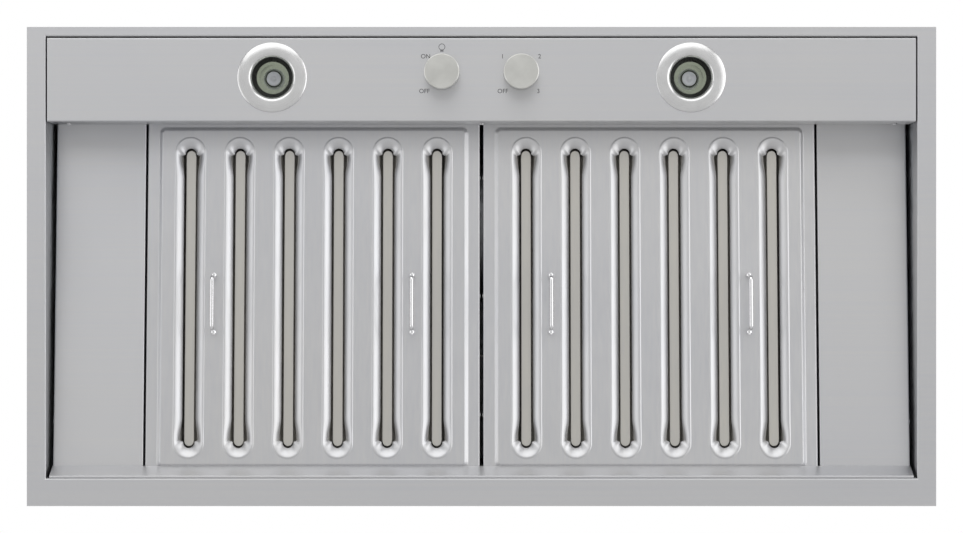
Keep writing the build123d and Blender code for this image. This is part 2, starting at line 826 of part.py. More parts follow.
def rotary_control(spot_x):
    """One control: switch with its bushing, D shaft, nut and knob, at the panel place given."""
    spot_plane = Plane(origin=(spot_x, knob_row, 0))
    with BuildPart() as switch:
        with Locations((spot_x, knob_row, 0)):
            Box(switch_size, switch_size, switch_height, align=standing)
            Cylinder(bushing_radius, sheet + nut_height + bushing_tail, align=hanging)
        with GridLocations(switch_size / 2, switch_size / 2, 2, 2):
            with Locations((spot_x, knob_row, switch_height)):
                Box(terminal_width, terminal_sheet, terminal_height, align=standing)
        with Locations((spot_x, knob_row, shaft_top + running_fit)):
            Cylinder(
                shaft_radius + running_fit,
                shaft_top + 2 * switch_height,
                align=hanging,
                mode=Mode.SUBTRACT,
            )
    with BuildPart() as shaft:
        with BuildSketch(spot_plane.offset(shaft_tip)):
            d_section(shaft_radius, shaft_flat)
        extrude(amount=shaft_top - shaft_tip)
    with BuildPart() as nut:
        with BuildSketch(spot_plane.offset(-sheet - nut_height)):
            RegularPolygon(nut_across / 2, 6, major_radius=False)
            Circle(bushing_radius + running_fit, mode=Mode.SUBTRACT)
        extrude(amount=nut_height)
    with BuildPart() as knob:
        with Locations((spot_x, knob_row, knob_top)):
            Cylinder(knob_radius, knob_height, align=hanging)
        chamfer(knob.edges().group_by(Axis.Z)[0], length=knob_chamfer)
        with Locations((spot_x, knob_row, knob_top)):
            Cylinder(
                knob_radius - knob_wall, knob_height - knob_wall, align=hanging, mode=Mode.SUBTRACT
            )
        with BuildSketch(spot_plane.offset(knob_face + knob_wall)):
            Circle(shaft_radius + boss_wall)
        extrude(amount=boss_end - knob_face - knob_wall)
        with BuildSketch(spot_plane.offset(knob_face + knob_wall)):
            d_section(shaft_radius + running_fit, shaft_flat)
        extrude(amount=knob_height, mode=Mode.SUBTRACT)
        with Locations((spot_x, knob_row, knob_face)):
            with PolarLocations(knob_radius - notch_length / 2, 1, start_angle=pointer_angle):
                Box(notch_length, notch_width, 2 * notch_depth, mode=Mode.SUBTRACT)
    return switch, shaft, nut, knob


for control_name, way in {"light": -1, "fan": 1}.items():
    switch, shaft, nut, knob = rotary_control(way * knob_spacing / 2)
    write(switch, f"{control_name}_switch")
    write(shaft, f"{control_name}_switch_shaft")
    write(nut, f"{control_name}_switch_nut")
    write(knob, f"{control_name}_knob")

# ==== Blower ====
wheel_plane = Plane(origin=(0, wheel_y, wheel_z), x_dir=(0, 1, 0), z_dir=(1, 0, 0))


def scroll_outline(top):
    """The housing's outline seen from its end: three widening arcs and an outlet up to top."""
    with BuildSketch() as outline:
        with BuildLine():
            CenterArc(first_centre, scroll_radius, 90, 90)
            CenterArc(second_centre, scroll_middle_radius, 180, 90)
            CenterArc(third_centre, scroll_last_radius, 270, 90)
            Polyline(
                (third_centre[0] + scroll_last_radius, third_centre[1]),
                (third_centre[0] + scroll_last_radius, top),
                (first_centre[0], top),
                (first_centre[0], first_centre[1] + scroll_radius),
            )
        make_face()
    return outline.sketch


with BuildPart() as scroll_wrap:
    with BuildSketch(Plane.YZ):
        add(scroll_outline(ceiling + scroll_radius))
        offset(amount=-scroll_sheet, mode=Mode.SUBTRACT)
        with Locations((duct_y, ceiling)):
            Rectangle(
                4 * scroll_radius,
                2 * scroll_radius,
                align=(Align.CENTER, Align.MIN),
                mode=Mode.SUBTRACT,
            )
    extrude(amount=scroll_width / 2, both=True)
write(scroll_wrap, "blower_scroll")


def blower_side(way):
    """A side plate of the blower with its inlet ring and its fixing flange."""
    with BuildPart() as plate:
        with BuildSketch(Plane.YZ.offset(way * scroll_width / 2)):
            add(scroll_outline(ceiling))
        extrude(amount=way * scroll_sheet)
        inlet_plane = Plane(
            origin=(way * scroll_width / 2, wheel_y, wheel_z), x_dir=(0, 1, 0), z_dir=(way, 0, 0)
        )
        with BuildSketch(inlet_plane.offset(-inlet_lip)):
            Circle(inlet_radius)
        extrude(amount=inlet_lip)
        with BuildSketch(inlet_plane.offset(-inlet_lip)):
            Circle(inlet_radius - scroll_sheet)
        extrude(amount=2 * inlet_lip, mode=Mode.SUBTRACT)
        flange_middle = way * (scroll_width / 2 + blower_flange / 2)
        with Locations((flange_middle, duct_y, ceiling)):
            Box(blower_flange, outlet_depth, scroll_sheet, align=hanging)
        screw_holes(blower_screw_planes, blower_grip)
    return plate


for side_name, side in sides.items():
    write(blower_side(side), f"blower_{side_name}_plate")

# A double-inlet squirrel-cage wheel: two end rings, a middle disc with a hub, and curved-in blades.
ring_offset = wheel_width / 2 - wheel_sheet / 2
blade_radius = wheel_radius - wheel_ring_width / 2
with BuildPart(wheel_plane) as impeller:
    with PolarLocations(blade_radius, blade_count):
        Box(
            wheel_ring_width - 2 * wheel_sheet,
            wheel_sheet,
            wheel_width - wheel_sheet,
            rotation=(0, 0, blade_pitch_angle),
        )
    for place in (-ring_offset, ring_offset):
        with BuildSketch(wheel_plane.offset(place - wheel_sheet / 2)):
            Circle(wheel_radius)
            Circle(wheel_radius - wheel_ring_width, mode=Mode.SUBTRACT)
        extrude(amount=wheel_sheet)
    Cylinder(wheel_radius, wheel_sheet)
    Cylinder(hub_radius, hub_length)
    Cylinder(axle_radius + running_fit, hub_length, mode=Mode.SUBTRACT)
write(impeller, "impeller")

motor_face = -(scroll_width / 2 + scroll_sheet + motor_gap)
axle_start = motor_face - motor_bearing
with BuildPart() as blower_axle:
    with BuildSketch(wheel_plane.offset(axle_start)):
        Circle(axle_radius)
    extrude(amount=hub_length / 2 - axle_start)
write(blower_axle, "blower_axle")

with BuildPart() as motor:
    with BuildSketch(wheel_plane.offset(motor_face - motor_length)):
        Circle(motor_radius)
    extrude(amount=motor_length)
    fillet(motor.edges().filter_by(GeomType.CIRCLE), radius=motor_corner)
    with BuildSketch(wheel_plane.offset(motor_face)):
        Circle(axle_radius + running_fit)
    extrude(amount=-motor_bearing - running_fit, mode=Mode.SUBTRACT)
    with BuildSketch(wheel_plane.offset(motor_face - (motor_length + motor_vent_length) / 2)):
        with PolarLocations(motor_radius, motor_vent_count):
            Rectangle(2 * motor_vent_depth, motor_vent_width)
    extrude(amount=motor_vent_length, mode=Mode.SUBTRACT)
write(motor, "motor")

# Three arms carry the motor off the left side plate.
bracket_ring = motor_radius - motor_corner - sheet
with BuildPart() as motor_bracket:
    with BuildSketch(wheel_plane.offset(motor_face)):
        Circle(bracket_ring)
        with PolarLocations((bracket_ring / 2 + bracket_leg_radius) / 2, 3):
            Rectangle(bracket_leg_radius - bracket_ring / 2, bracket_leg_width)
        Circle(bracket_hole_radius, mode=Mode.SUBTRACT)
    extrude(amount=bracket_sheet)
    with BuildSketch(wheel_plane.offset(motor_face)):
        with PolarLocations(bracket_leg_radius, 3):
            Rectangle(bracket_sheet, bracket_leg_width)
    extrude(amount=motor_gap)
write(motor_bracket, "motor_bracket")

# ==== Run capacitor, strapped under the top panel ====
capacitor_height = ceiling - capacitor_gap - capacitor_radius
capacitor_plane = Plane(
    origin=(capacitor_spot_x, capacitor_spot_y, capacitor_height), x_dir=(0, 1, 0), z_dir=(1, 0, 0)
)
with BuildPart(capacitor_plane) as capacitor:
    Cylinder(capacitor_radius, capacitor_length)
    fillet(capacitor.edges().filter_by(GeomType.CIRCLE), radius=capacitor_corner)
write(capacitor, "capacitor")

clamp_inner = capacitor_radius + capacitor_gap
with BuildPart() as capacitor_clamp:
    with BuildSketch(capacitor_plane):
        reach = ceiling - capacitor_height
        Circle(clamp_inner + clamp_sheet)
        with Locations((0, reach / 2)):
            Rectangle(2 * (clamp_inner + clamp_sheet), reach)
        with Locations((0, reach - clamp_sheet / 2)):
            Rectangle(2 * clamp_inner + 2 * clamp_width, clamp_sheet)
        Circle(clamp_inner, mode=Mode.SUBTRACT)
        with Locations((0, reach)):
            Rectangle(2 * clamp_inner, 2 * reach, mode=Mode.SUBTRACT)
            Rectangle(4 * clamp_inner, reach, align=(Align.CENTER, Align.MIN), mode=Mode.SUBTRACT)
    extrude(amount=clamp_width / 2, both=True)
write(capacitor_clamp, "capacitor_clamp")

# ==== Duct collar with a two-flap backdraft damper ====
duct_plane = Plane(origin=(0, duct_y, body_height))
rod_height = body_height + damper_height
stop_drop = flap_sheet / 2 + hole_clearance
with BuildPart() as duct_collar:
    with Locations(duct_plane):
        Cylinder(collar_radius + collar_flange, collar_sheet, align=standing)
        Cylinder(collar_radius, collar_height, align=standing)
        Cylinder(
            collar_radius - collar_sheet, 4 * collar_height, mode=Mode.SUBTRACT
        )
        with Locations((0, 0, damper_height)):
            Cylinder(
                damper_rod_radius + running_fit,
                4 * collar_radius,
                rotation=(0, 90, 0),
                mode=Mode.SUBTRACT,
            )
        with Locations((0, 0, damper_height - stop_drop)):
            with PolarLocations(collar_radius - collar_sheet - stop_size / 2, 2, start_angle=90):
                Box(stop_size + collar_sheet, stop_size, collar_sheet, align=hanging)
    screw_holes(collar_screw_planes, collar_grip)
write(duct_collar, "duct_collar")

with BuildPart() as damper_rod:
    with BuildSketch(Plane.YZ):
        with Locations((duct_y, rod_height)):
            Circle(damper_rod_radius)
    extrude(amount=collar_radius - rod_recess, both=True)
write(damper_rod, "damper_rod")


def damper_flap(way):
    """Half of the damper: a half disc with two knuckles on the rod."""
    flap_radius = collar_radius - collar_sheet - flap_edge_gap
    knuckle_spots = [-1.5 * way * knuckle_pitch, 0.5 * way * knuckle_pitch]
    with BuildPart() as flap:
        with BuildSketch(Plane(origin=(0, duct_y, rod_height - flap_sheet / 2))):
            Circle(flap_radius)
            with Locations((0, way * flap_hinge_gap)):
                Rectangle(
                    2 * flap_radius,
                    2 * flap_radius,
                    align=(Align.CENTER, Align.MIN if way < 0 else Align.MAX),
                    mode=Mode.SUBTRACT,
                )
        extrude(amount=flap_sheet)
        with Locations((0, duct_y, rod_height)):
            for spot in knuckle_spots:
                with Locations((spot, 0, 0)):
                    Cylinder(knuckle_radius, knuckle_length, rotation=(0, 90, 0))
                    with Locations((0, way * flap_hinge_gap / 2, 0)):
                        Box(knuckle_length, flap_hinge_gap + flap_sheet, flap_sheet)
            Cylinder(
                damper_rod_radius + running_fit,
                4 * flap_radius,
                rotation=(0, 90, 0),
                mode=Mode.SUBTRACT,
            )
    return flap


write(damper_flap(-1), "front_damper_flap")
write(damper_flap(1), "rear_damper_flap")

# ==== Junction box under the top panel, and the gland for the supply cable ====
box_plane = Plane(origin=(box_spot_x, box_spot_y, ceiling))
with BuildPart(box_plane) as junction_box:
    Box(box_width, box_depth, box_height, align=hanging)
    with Locations((0, 0, -box_sheet)):
        Box(
            box_width - 2 * box_sheet,
            box_depth - 2 * box_sheet,
            box_height,
            align=hanging,
            mode=Mode.SUBTRACT,
        )
    Cylinder(gland_hole_radius, 4 * box_sheet, mode=Mode.SUBTRACT)
write(junction_box, "junction_box")

cover_screw_planes = [
    Plane(origin=(box_spot_x + x, box_spot_y, ceiling - box_height - box_sheet), z_dir=(0, 0, -1))
    for x in (cover_screw_inset - box_width / 2, box_width / 2 - cover_screw_inset)
]
with BuildPart() as junction_cover:
    with Locations(box_plane.offset(-box_height)):
        Box(box_width, box_depth, box_sheet, align=hanging)
    screw_holes(cover_screw_planes, box_sheet)
write(junction_cover, "junction_cover")
write(pan_screws(cover_screw_planes, box_sheet), "junction_cover_screws")

gland_tail = sheet + box_sheet + screw_tail
with BuildPart(Plane(origin=(box_spot_x, box_spot_y, body_height))) as cable_gland:
    Cylinder(gland_nut_radius, gland_height / 3, align=standing)
    Cylinder(gland_radius, gland_height, align=standing)
    fillet(cable_gland.edges().group_by(Axis.Z)[-1], radius=gland_radius / 4)
    Cylinder(gland_radius, gland_tail, align=hanging)
    Cylinder(gland_bore_radius, 4 * gland_height, mode=Mode.SUBTRACT)
write(cable_gland, "cable_gland")
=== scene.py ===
import json
from math import cos, pi, radians, sin

import bmesh
import bpy
from bpy.props import (
    FloatProperty,
    FloatVectorProperty,
    IntProperty,
    PointerProperty,
)
from mathutils import Matrix, Vector


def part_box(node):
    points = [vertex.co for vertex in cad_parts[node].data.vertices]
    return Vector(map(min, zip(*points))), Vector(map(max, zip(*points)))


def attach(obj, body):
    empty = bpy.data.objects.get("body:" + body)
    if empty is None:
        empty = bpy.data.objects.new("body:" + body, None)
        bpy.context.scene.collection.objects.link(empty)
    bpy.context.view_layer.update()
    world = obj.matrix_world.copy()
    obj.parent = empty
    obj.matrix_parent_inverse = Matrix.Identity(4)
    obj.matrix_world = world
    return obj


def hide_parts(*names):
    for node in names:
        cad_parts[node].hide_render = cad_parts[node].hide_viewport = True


bl_info = {
    "name": "Range hood insert",
    "version": (1, 0, 0),
    "blender": (4, 5, 0),
    "location": "View3D > Sidebar > Range hood",
    "description": "Finishes and fine shapes for a built-in range hood insert",
    "category": "Object",
}

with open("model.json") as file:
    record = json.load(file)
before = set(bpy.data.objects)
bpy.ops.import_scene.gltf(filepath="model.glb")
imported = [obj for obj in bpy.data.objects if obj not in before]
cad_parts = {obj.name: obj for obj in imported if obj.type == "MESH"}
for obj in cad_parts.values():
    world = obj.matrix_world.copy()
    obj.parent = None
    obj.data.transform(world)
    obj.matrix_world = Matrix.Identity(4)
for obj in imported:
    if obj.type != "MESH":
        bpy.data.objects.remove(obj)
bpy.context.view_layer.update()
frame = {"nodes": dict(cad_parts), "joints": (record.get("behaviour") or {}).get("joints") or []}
nodes = frame["nodes"]
joints = {joint["name"]: joint for joint in frame["joints"]}
SIDES = {"left": -1, "right": 1}


# ---- Sizes and colours that a user would change ----
class StageSettings(bpy.types.PropertyGroup):
    """The floor, the light and the camera."""

    camera_drop: FloatProperty(
        name="Camera drop",
        description="How far the camera is below the flange",
        default=3.2,
        unit="LENGTH",
    )
    view_width: FloatProperty(
        name="View width",
        description="Width that the picture takes in at the flange",
        default=1.2204,
        unit="LENGTH",
    )
    floor_drop: FloatProperty(
        name="Floor drop",
        description="How far the floor is below the flange",
        default=3.6,
        unit="LENGTH",
    )
    floor_colour: FloatVectorProperty(
        name="Floor colour",
        description="Colour of the floor",
        default=(0.82, 0.82, 0.82),
        subtype="COLOR",
    )
    sky_level: FloatProperty(
        name="Sky level", description="Strength of the even light from all round", default=0.30
    )
    floor_light: FloatProperty(
        name="Floor light", description="Brightness that the floor is seen with", default=0.8
    )
    floor_share: FloatProperty(
        name="Floor share",
        description="How much of the seen floor is that brightness",
        default=0.62,
        subtype="FACTOR",
    )
    front_power: FloatProperty(
        name="Front power",
        description="Power of the softbox low at the front",
        default=54.0,
        unit="POWER",
    )
    right_power: FloatProperty(
        name="Right power",
        description="Power of the softbox low at the right",
        default=42.0,
        unit="POWER",
    )
    left_power: FloatProperty(
        name="Left power",
        description="Power of the softbox low at the left",
        default=18.0,
        unit="POWER",
    )
    top_power: FloatProperty(
        name="Top power", description="Power of each softbox above", default=55.0, unit="POWER"
    )


class FinishSettings(bpy.types.PropertyGroup):
    """Colours and roughness of the metals."""

    steel_colour: FloatVectorProperty(
        name="Stainless colour",
        description="Colour of the brushed stainless sheet",
        default=(0.61, 0.61, 0.62),
        subtype="COLOR",
    )
    steel_roughness: FloatProperty(
        name="Stainless roughness",
        description="Roughness of the brushed sheet",
        default=0.42,
        subtype="FACTOR",
    )
    # Darker and warmer than the stainless colour: painted shade for the ribs and rear pans in the recess
    # behind the slots.
    inner_shaded_colour: FloatVectorProperty(
        name="Inner steel colour",
        description="Colour of the sheet behind the slots",
        default=(0.56, 0.545, 0.51),
        subtype="COLOR",
    )
    zinc_colour: FloatVectorProperty(
        name="Galvanised colour",
        description="Colour of the galvanised sheet",
        default=(0.50, 0.52, 0.54),
        subtype="COLOR",
    )
    zinc_roughness: FloatProperty(
        name="Galvanised roughness",
        description="Roughness of the galvanised sheet",
        default=0.50,
        subtype="FACTOR",
    )
    chrome_colour: FloatVectorProperty(
        name="Chrome colour",
        description="Colour of the polished wire",
        default=(0.82, 0.82, 0.83),
        subtype="COLOR",
    )
    trim_colour: FloatVectorProperty(
        name="Trim colour",
        description="Colour of the satin lamp trims",
        default=(0.72, 0.72, 0.72),
        subtype="COLOR",
    )
    knob_colour: FloatVectorProperty(
        name="Knob colour",
        description="Colour of the turned knobs",
        default=(0.66, 0.66, 0.63),
        subtype="COLOR",
    )


class FilterSettings(bpy.types.PropertyGroup):
    """Sizes of a baffle filter's face and handles."""

    slot_count: IntProperty(name="Slots", description="Slots in one filter", default=6, min=1)
    slot_pitch: FloatProperty(
        name="Slot pitch", description="Distance from slot to slot", default=0.06352, unit="LENGTH"
    )
    rim_half_width: FloatProperty(
        name="Rim half width",
        description="Half the width over a slot's rolled rim",
        default=0.0204,
        unit="LENGTH",
    )
    rim_half_length: FloatProperty(
        name="Rim half length",
        description="Half the length over a slot's rolled rim",
        default=0.2076,
        unit="LENGTH",
    )
    throat_half_width: FloatProperty(
        name="Throat half width",
        description="Half the width of a slot's opening",
        default=0.0086,
        unit="LENGTH",
    )
    throat_half_length: FloatProperty(
        name="Throat half length",
        description="Half the length of a slot's opening",
        default=0.1930,
        unit="LENGTH",
    )
    flare: FloatProperty(
        name="Flare",
        description="How much the opening widens each side near its ends",
        default=0.0028,
        unit="LENGTH",
    )
    plateau_rise: FloatProperty(
        name="Plateau rise",
        description="How far the slotted field stands out of the border",
        default=0.0035,
        unit="LENGTH",
    )
    border: FloatProperty(
        name="Border",
        description="Width of the flat border at the sides",
        default=0.0152,
        unit="LENGTH",
    )
    front_border: FloatProperty(
        name="Front border",
        description="Width of the flat border at the front",
        default=0.0133,
        unit="LENGTH",
    )
    rear_border: FloatProperty(
        name="Rear border",
        description="Width of the flat border at the rear",
        default=0.0098,
        unit="LENGTH",
    )
    slot_shift: FloatProperty(
        name="Slot shift",
        description="How far the slots lie behind the middle",
        default=0.0028,
        unit="LENGTH",
    )
    grip_radius: FloatProperty(
        name="Grip radius", description="Radius of a handle's grip", default=0.0026, unit="LENGTH"
    )
    grip_span: FloatProperty(
        name="Grip span",
        description="Distance between a handle's legs",
        default=0.066,
        unit="LENGTH",
    )
    grip_drop: FloatProperty(
        name="Grip drop",
        description="How far the grip hangs from its hinge",
        default=0.024,
        unit="LENGTH",
    )
    grip_bend: FloatProperty(
        name="Grip bend", description="Radius of a handle's corners", default=0.005, unit="LENGTH"
    )
    grip_start: FloatProperty(
        name="Grip start",
        description="Where the thick part starts below the hinge",
        default=0.0062,
        unit="LENGTH",
    )
    sheet: FloatProperty(
        name="Sheet", description="Thickness of the pressed sheet", default=0.0008, unit="LENGTH"
    )


# ---- Materials ----
def add_node(tree, kind, **settings):
    """Add a shader node and set its plain settings."""
    made = tree.nodes.new(f"ShaderNode{kind}")
    for name, value in settings.items():
        setattr(made, name, value)
    return made


def pattern(tree, scale=(1.0, 1.0, 1.0)):
    """Object coordinates, scaled for a pattern."""
    coords = add_node(tree, "TexCoord")
    mapping = add_node(tree, "Mapping")
    mapping.inputs["Scale"].default_value = scale
    tree.links.new(coords.outputs["Object"], mapping.inputs["Vector"])
    return mapping.outputs["Vector"]


def noise(tree, vector, scale, detail=3.0, roughness=0.5):
    """A noise value between 0 and 1."""
    made = add_node(tree, "TexNoise")
    made.inputs["Scale"].default_value = scale
    made.inputs["Detail"].default_value = detail
    made.inputs["Roughness"].default_value = roughness
    tree.links.new(vector, made.inputs["Vector"])
    return made.outputs["Fac"]


def spread(tree, value, low, high, start=0.3, end=0.7):
    """Map a value from start..end to low..high."""
    made = add_node(tree, "MapRange")
    made.inputs["From Min"].default_value = start
    made.inputs["From Max"].default_value = end
    made.inputs["To Min"].default_value = low
    made.inputs["To Max"].default_value = high
    tree.links.new(value, made.inputs["Value"])
    return made.outputs["Result"]


def combine(tree, first, second, operation="ADD"):
    """One value from two."""
    made = add_node(tree, "Math", operation=operation)
    tree.links.new(first, made.inputs[0])
    tree.links.new(second, made.inputs[1])
    return made.outputs["Value"]


def tint(tree, value, dark, light):
    """A colour between two, chosen by a value."""
    made = add_node(tree, "Mix", data_type="RGBA")
    for socket in made.inputs:
        if socket.name == "A" and socket.type == "RGBA":
            socket.default_value = (*dark, 1.0)
        if socket.name == "B" and socket.type == "RGBA":
            socket.default_value = (*light, 1.0)
    tree.links.new(value, made.inputs["Factor"])
    return next(s for s in made.outputs if s.type == "RGBA")


def shaded(colour, factor):
    """A colour made lighter or darker."""
    return tuple(min(1.0, part * factor) for part in colour)


def shade(tree, shader, value, colour, darker, lighter):
    """Let a value vary the base colour between two shades of one colour."""
    cast = tint(tree, value, shaded(colour, darker), shaded(colour, lighter))
    tree.links.new(cast, shader.inputs["Base Color"])


def new_finish(name, metallic=0.0, specular=0.5):
    """A material with its shader, ready for the pattern that follows."""
    made = bpy.data.materials.new(name)
    made.use_nodes = True
    shader = made.node_tree.nodes["Principled BSDF"]
    shader.inputs["Metallic"].default_value = metallic
    shader.inputs["Specular IOR Level"].default_value = specular
    return made, made.node_tree, shader


def bumped(tree, shader, height, strength, distance):
    """Raise the surface by a height value."""
    made = add_node(tree, "Bump")
    made.inputs["Strength"].default_value = strength
    made.inputs["Distance"].default_value = distance
    tree.links.new(height, made.inputs["Height"])
    tree.links.new(made.outputs["Normal"], shader.inputs["Normal"])


# By the axis that the brush lines follow: the pattern's scale, and a direction across the lines.
GRAIN_SCALES = {"x": (1.6, 420.0, 420.0), "y": (420.0, 1.6, 420.0)}
GRAIN_CROSS = {"x": (0.06, 1.0, 0.09), "y": (1.0, 0.06, 0.09)}


def brushed_steel(name, colour, roughness, grain, stretch):
    """Stainless sheet with brush lines that run along one axis."""
    made, tree, shader = new_finish(name, metallic=1.0)
    shader.inputs["Anisotropic"].default_value = stretch
    lines = noise(tree, pattern(tree, GRAIN_SCALES[grain]), 1.0, detail=4.0, roughness=0.65)
    clouds = noise(tree, pattern(tree), 3.2, detail=2.0)
    wipes = noise(tree, pattern(tree, (5.0, 9.0, 7.0)), 1.0, detail=3.0, roughness=0.6)
    cast = combine(tree, spread(tree, lines, 0.0, 0.6), spread(tree, clouds, 0.0, 0.4))
    red, green, blue = colour
    cool = (red * 0.955, green * 0.965, blue * 0.99)
    warm = (red * 1.035, green * 1.03, blue * 1.01)
    tree.links.new(tint(tree, cast, cool, warm), shader.inputs["Base Color"])
    rough = combine(
        tree,
        spread(tree, lines, roughness - 0.05, roughness + 0.05),
        spread(tree, wipes, -0.02, 0.035),
    )
    tree.links.new(rough, shader.inputs["Roughness"])
    cross = add_node(tree, "CombineXYZ")
    for place, value in enumerate(GRAIN_CROSS[grain]):
        cross.inputs[place].default_value = value
    tree.links.new(cross.outputs["Vector"], shader.inputs["Tangent"])
    bumped(tree, shader, lines, 0.05, 0.0004)
    return made


def turned_metal(name, colour, roughness, centre, stretch=0.6):
    """Metal turned on a lathe about a vertical axis at centre."""
    made, tree, shader = new_finish(name, metallic=1.0)
    shader.inputs["Anisotropic"].default_value = stretch
    coords = add_node(tree, "TexCoord")
    from_axis = add_node(tree, "VectorMath", operation="SUBTRACT")
    from_axis.inputs[1].default_value = centre
    tree.links.new(coords.outputs["Object"], from_axis.inputs[0])
    outward = add_node(tree, "VectorMath", operation="MULTIPLY")
    outward.inputs[1].default_value = (1.0, 1.0, 0.0)
    tree.links.new(from_axis.outputs["Vector"], outward.inputs[0])
    reach = add_node(tree, "VectorMath", operation="LENGTH")
    tree.links.new(outward.outputs["Vector"], reach.inputs[0])
    rings = add_node(tree, "TexNoise", noise_dimensions="1D")
    rings.inputs["Scale"].default_value = 1400.0
    rings.inputs["Detail"].default_value = 3.0
    tree.links.new(reach.outputs["Value"], rings.inputs["W"])
    clouds = noise(tree, pattern(tree, (60.0, 60.0, 60.0)), 1.0)
    shade(tree, shader, spread(tree, clouds, 0.0, 1.0), colour, 0.95, 1.05)
    rough = spread(tree, rings.outputs["Fac"], roughness - 0.05, roughness + 0.05)
    tree.links.new(rough, shader.inputs["Roughness"])
    tree.links.new(outward.outputs["Vector"], shader.inputs["Tangent"])
    bumped(tree, shader, rings.outputs["Fac"], 0.06, 0.0002)
    return made


def galvanised(name, colour, roughness):
    """Galvanised sheet with its flat spangles."""
    made, tree, shader = new_finish(name, metallic=1.0)
    cells = add_node(tree, "TexVoronoi")
    cells.inputs["Scale"].default_value = 90.0
    tree.links.new(pattern(tree), cells.inputs["Vector"])
    split = add_node(tree, "SeparateColor")
    tree.links.new(cells.outputs["Color"], split.inputs["Color"])
    clouds = noise(tree, pattern(tree), 14.0, detail=4.0)
    cast = combine(
        tree,
        spread(tree, split.outputs["Red"], 0.0, 0.55, 0.0, 1.0),
        spread(tree, clouds, 0.0, 0.45),
    )
    shade(tree, shader, cast, colour, 0.86, 1.12)
    rough = combine(
        tree,
        spread(tree, split.outputs["Green"], roughness - 0.07, roughness + 0.07, 0.0, 1.0),
        spread(tree, clouds, -0.03, 0.04),
    )
    tree.links.new(rough, shader.inputs["Roughness"])
    bumped(tree, shader, split.outputs["Blue"], 0.05, 0.0002)
    return made


def polished(name, colour, roughness=0.08):
    """Plated wire or glassy metal with faint wear."""
    made, tree, shader = new_finish(name, metallic=1.0)
    wear = noise(tree, pattern(tree), 240.0, detail=4.0)
    shade(tree, shader, spread(tree, wear, 0.0, 1.0), colour, 0.94, 1.03)
    tree.links.new(spread(tree, wear, roughness * 0.7, roughness * 1.6), shader.inputs["Roughness"])
    bumped(tree, shader, wear, 0.03, 0.0002)
    return made


def moulded(name, colour, roughness, specular=0.5):
    """Moulded plastic, ceramic or enamel with a fine surface grain."""
    made, tree, shader = new_finish(name, specular=specular)
    fine = noise(tree, pattern(tree), 900.0, detail=2.0)
    broad = noise(tree, pattern(tree), 30.0, detail=3.0)
    shade(tree, shader, spread(tree, broad, 0.0, 1.0), colour, 0.88, 1.10)
    rough = combine(
        tree,
        spread(tree, fine, roughness - 0.06, roughness + 0.06),
        spread(tree, broad, -0.03, 0.03),
    )
    tree.links.new(rough, shader.inputs["Roughness"])
    bumped(tree, shader, fine, 0.12, 0.0002)
    return made


def dress(names, finish):
    """Give CAD nodes a finish."""
    for name in names:
        slots = nodes[name].data.materials
        if not len(slots):
            slots.append(finish)
        for place in range(len(slots)):
            slots[place] = finish


# ---- Shapes ----
def add_piece(name, shape, finish, body, replaced=(), smooth=True, matrix=None):
    """Turn a bmesh into a piece in the hood's frame that rides on a body."""
    if matrix is not None:
        bmesh.ops.transform(shape, matrix=matrix, verts=shape.verts)
    mesh = bpy.data.meshes.new(name)
    if smooth:
        for face in shape.faces:
            if len(face.verts) <= 4 and not face.tag:
                face.smooth = True
    shape.to_mesh(mesh)
    shape.free()
    mesh.materials.append(finish)
    piece = bpy.data.objects.new(name, mesh)
    bpy.context.scene.collection.objects.link(piece)
    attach(piece, body)
    if replaced:
        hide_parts(*replaced)
    return piece


def spun(profile, steps, centre, flat=False):
    """Spin a profile of radius and height pairs about a vertical axis."""
    shape = bmesh.new()
    line = [shape.verts.new((radius, 0.0, height)) for radius, height in profile]
    edges = [shape.edges.new(pair) for pair in zip(line, line[1:])]
    bmesh.ops.spin(
        shape, geom=line + edges, cent=(0, 0, 0), axis=(0, 0, 1), dvec=(0, 0, 0), angle=2 * pi, steps=steps,
        use_merge=True, use_duplicate=False,
    )
    bmesh.ops.remove_doubles(shape, verts=shape.verts, dist=0.000005)
    bmesh.ops.recalc_face_normals(shape, faces=shape.faces)
    for face in shape.faces:
        face.tag = flat
    bmesh.ops.translate(shape, vec=centre, verts=shape.verts)
    return shape


def facing_down(shape):
    """Turn an open shape's faces so that they look down."""
    total = sum(face.normal.z * face.calc_area() for face in shape.faces)
    if total > 0:
        bmesh.ops.reverse_faces(shape, faces=shape.faces)
    return shape


def filter_matrix(side_name):
    """From a filter's own frame to the hood's: origin at its front edge, z into the hood."""
    lift = joints[f"{side_name}_filter_lift"]
    run = Vector(joints[f"{side_name}_outer_bail_swing"]["axis"]).normalized()
    across = Vector((1.0, 0.0, 0.0))
    up = across.cross(run)
    turn = Matrix((across, run, up)).transposed().to_4x4()
    return Matrix.Translation(Vector(lift["pos_m"])) @ turn


def own_box(name, matrix):
    """A node's lowest and highest corners in a frame of its own."""
    back = matrix.inverted()
    points = [back @ vertex.co for vertex in nodes[name].data.vertices]
    low = Vector([min(point[axis] for point in points) for axis in range(3)])
    high = Vector([max(point[axis] for point in points) for axis in range(3)])
    return low, high


def rounded_ring(half_x, half_y, radius, steps=8):
    """Points of a rectangle with rounded corners, anticlockwise from the right side."""
    points = []
    for quarter, (sx, sy) in enumerate(((1, 1), (-1, 1), (-1, -1), (1, -1))):
        for step in range(steps + 1):
            turn = radians(90 * quarter + 90 * step / steps)
            points.append(
                (sx * (half_x - radius) + radius * cos(turn), sy * (half_y - radius) + radius * sin(turn))
            )
    return points


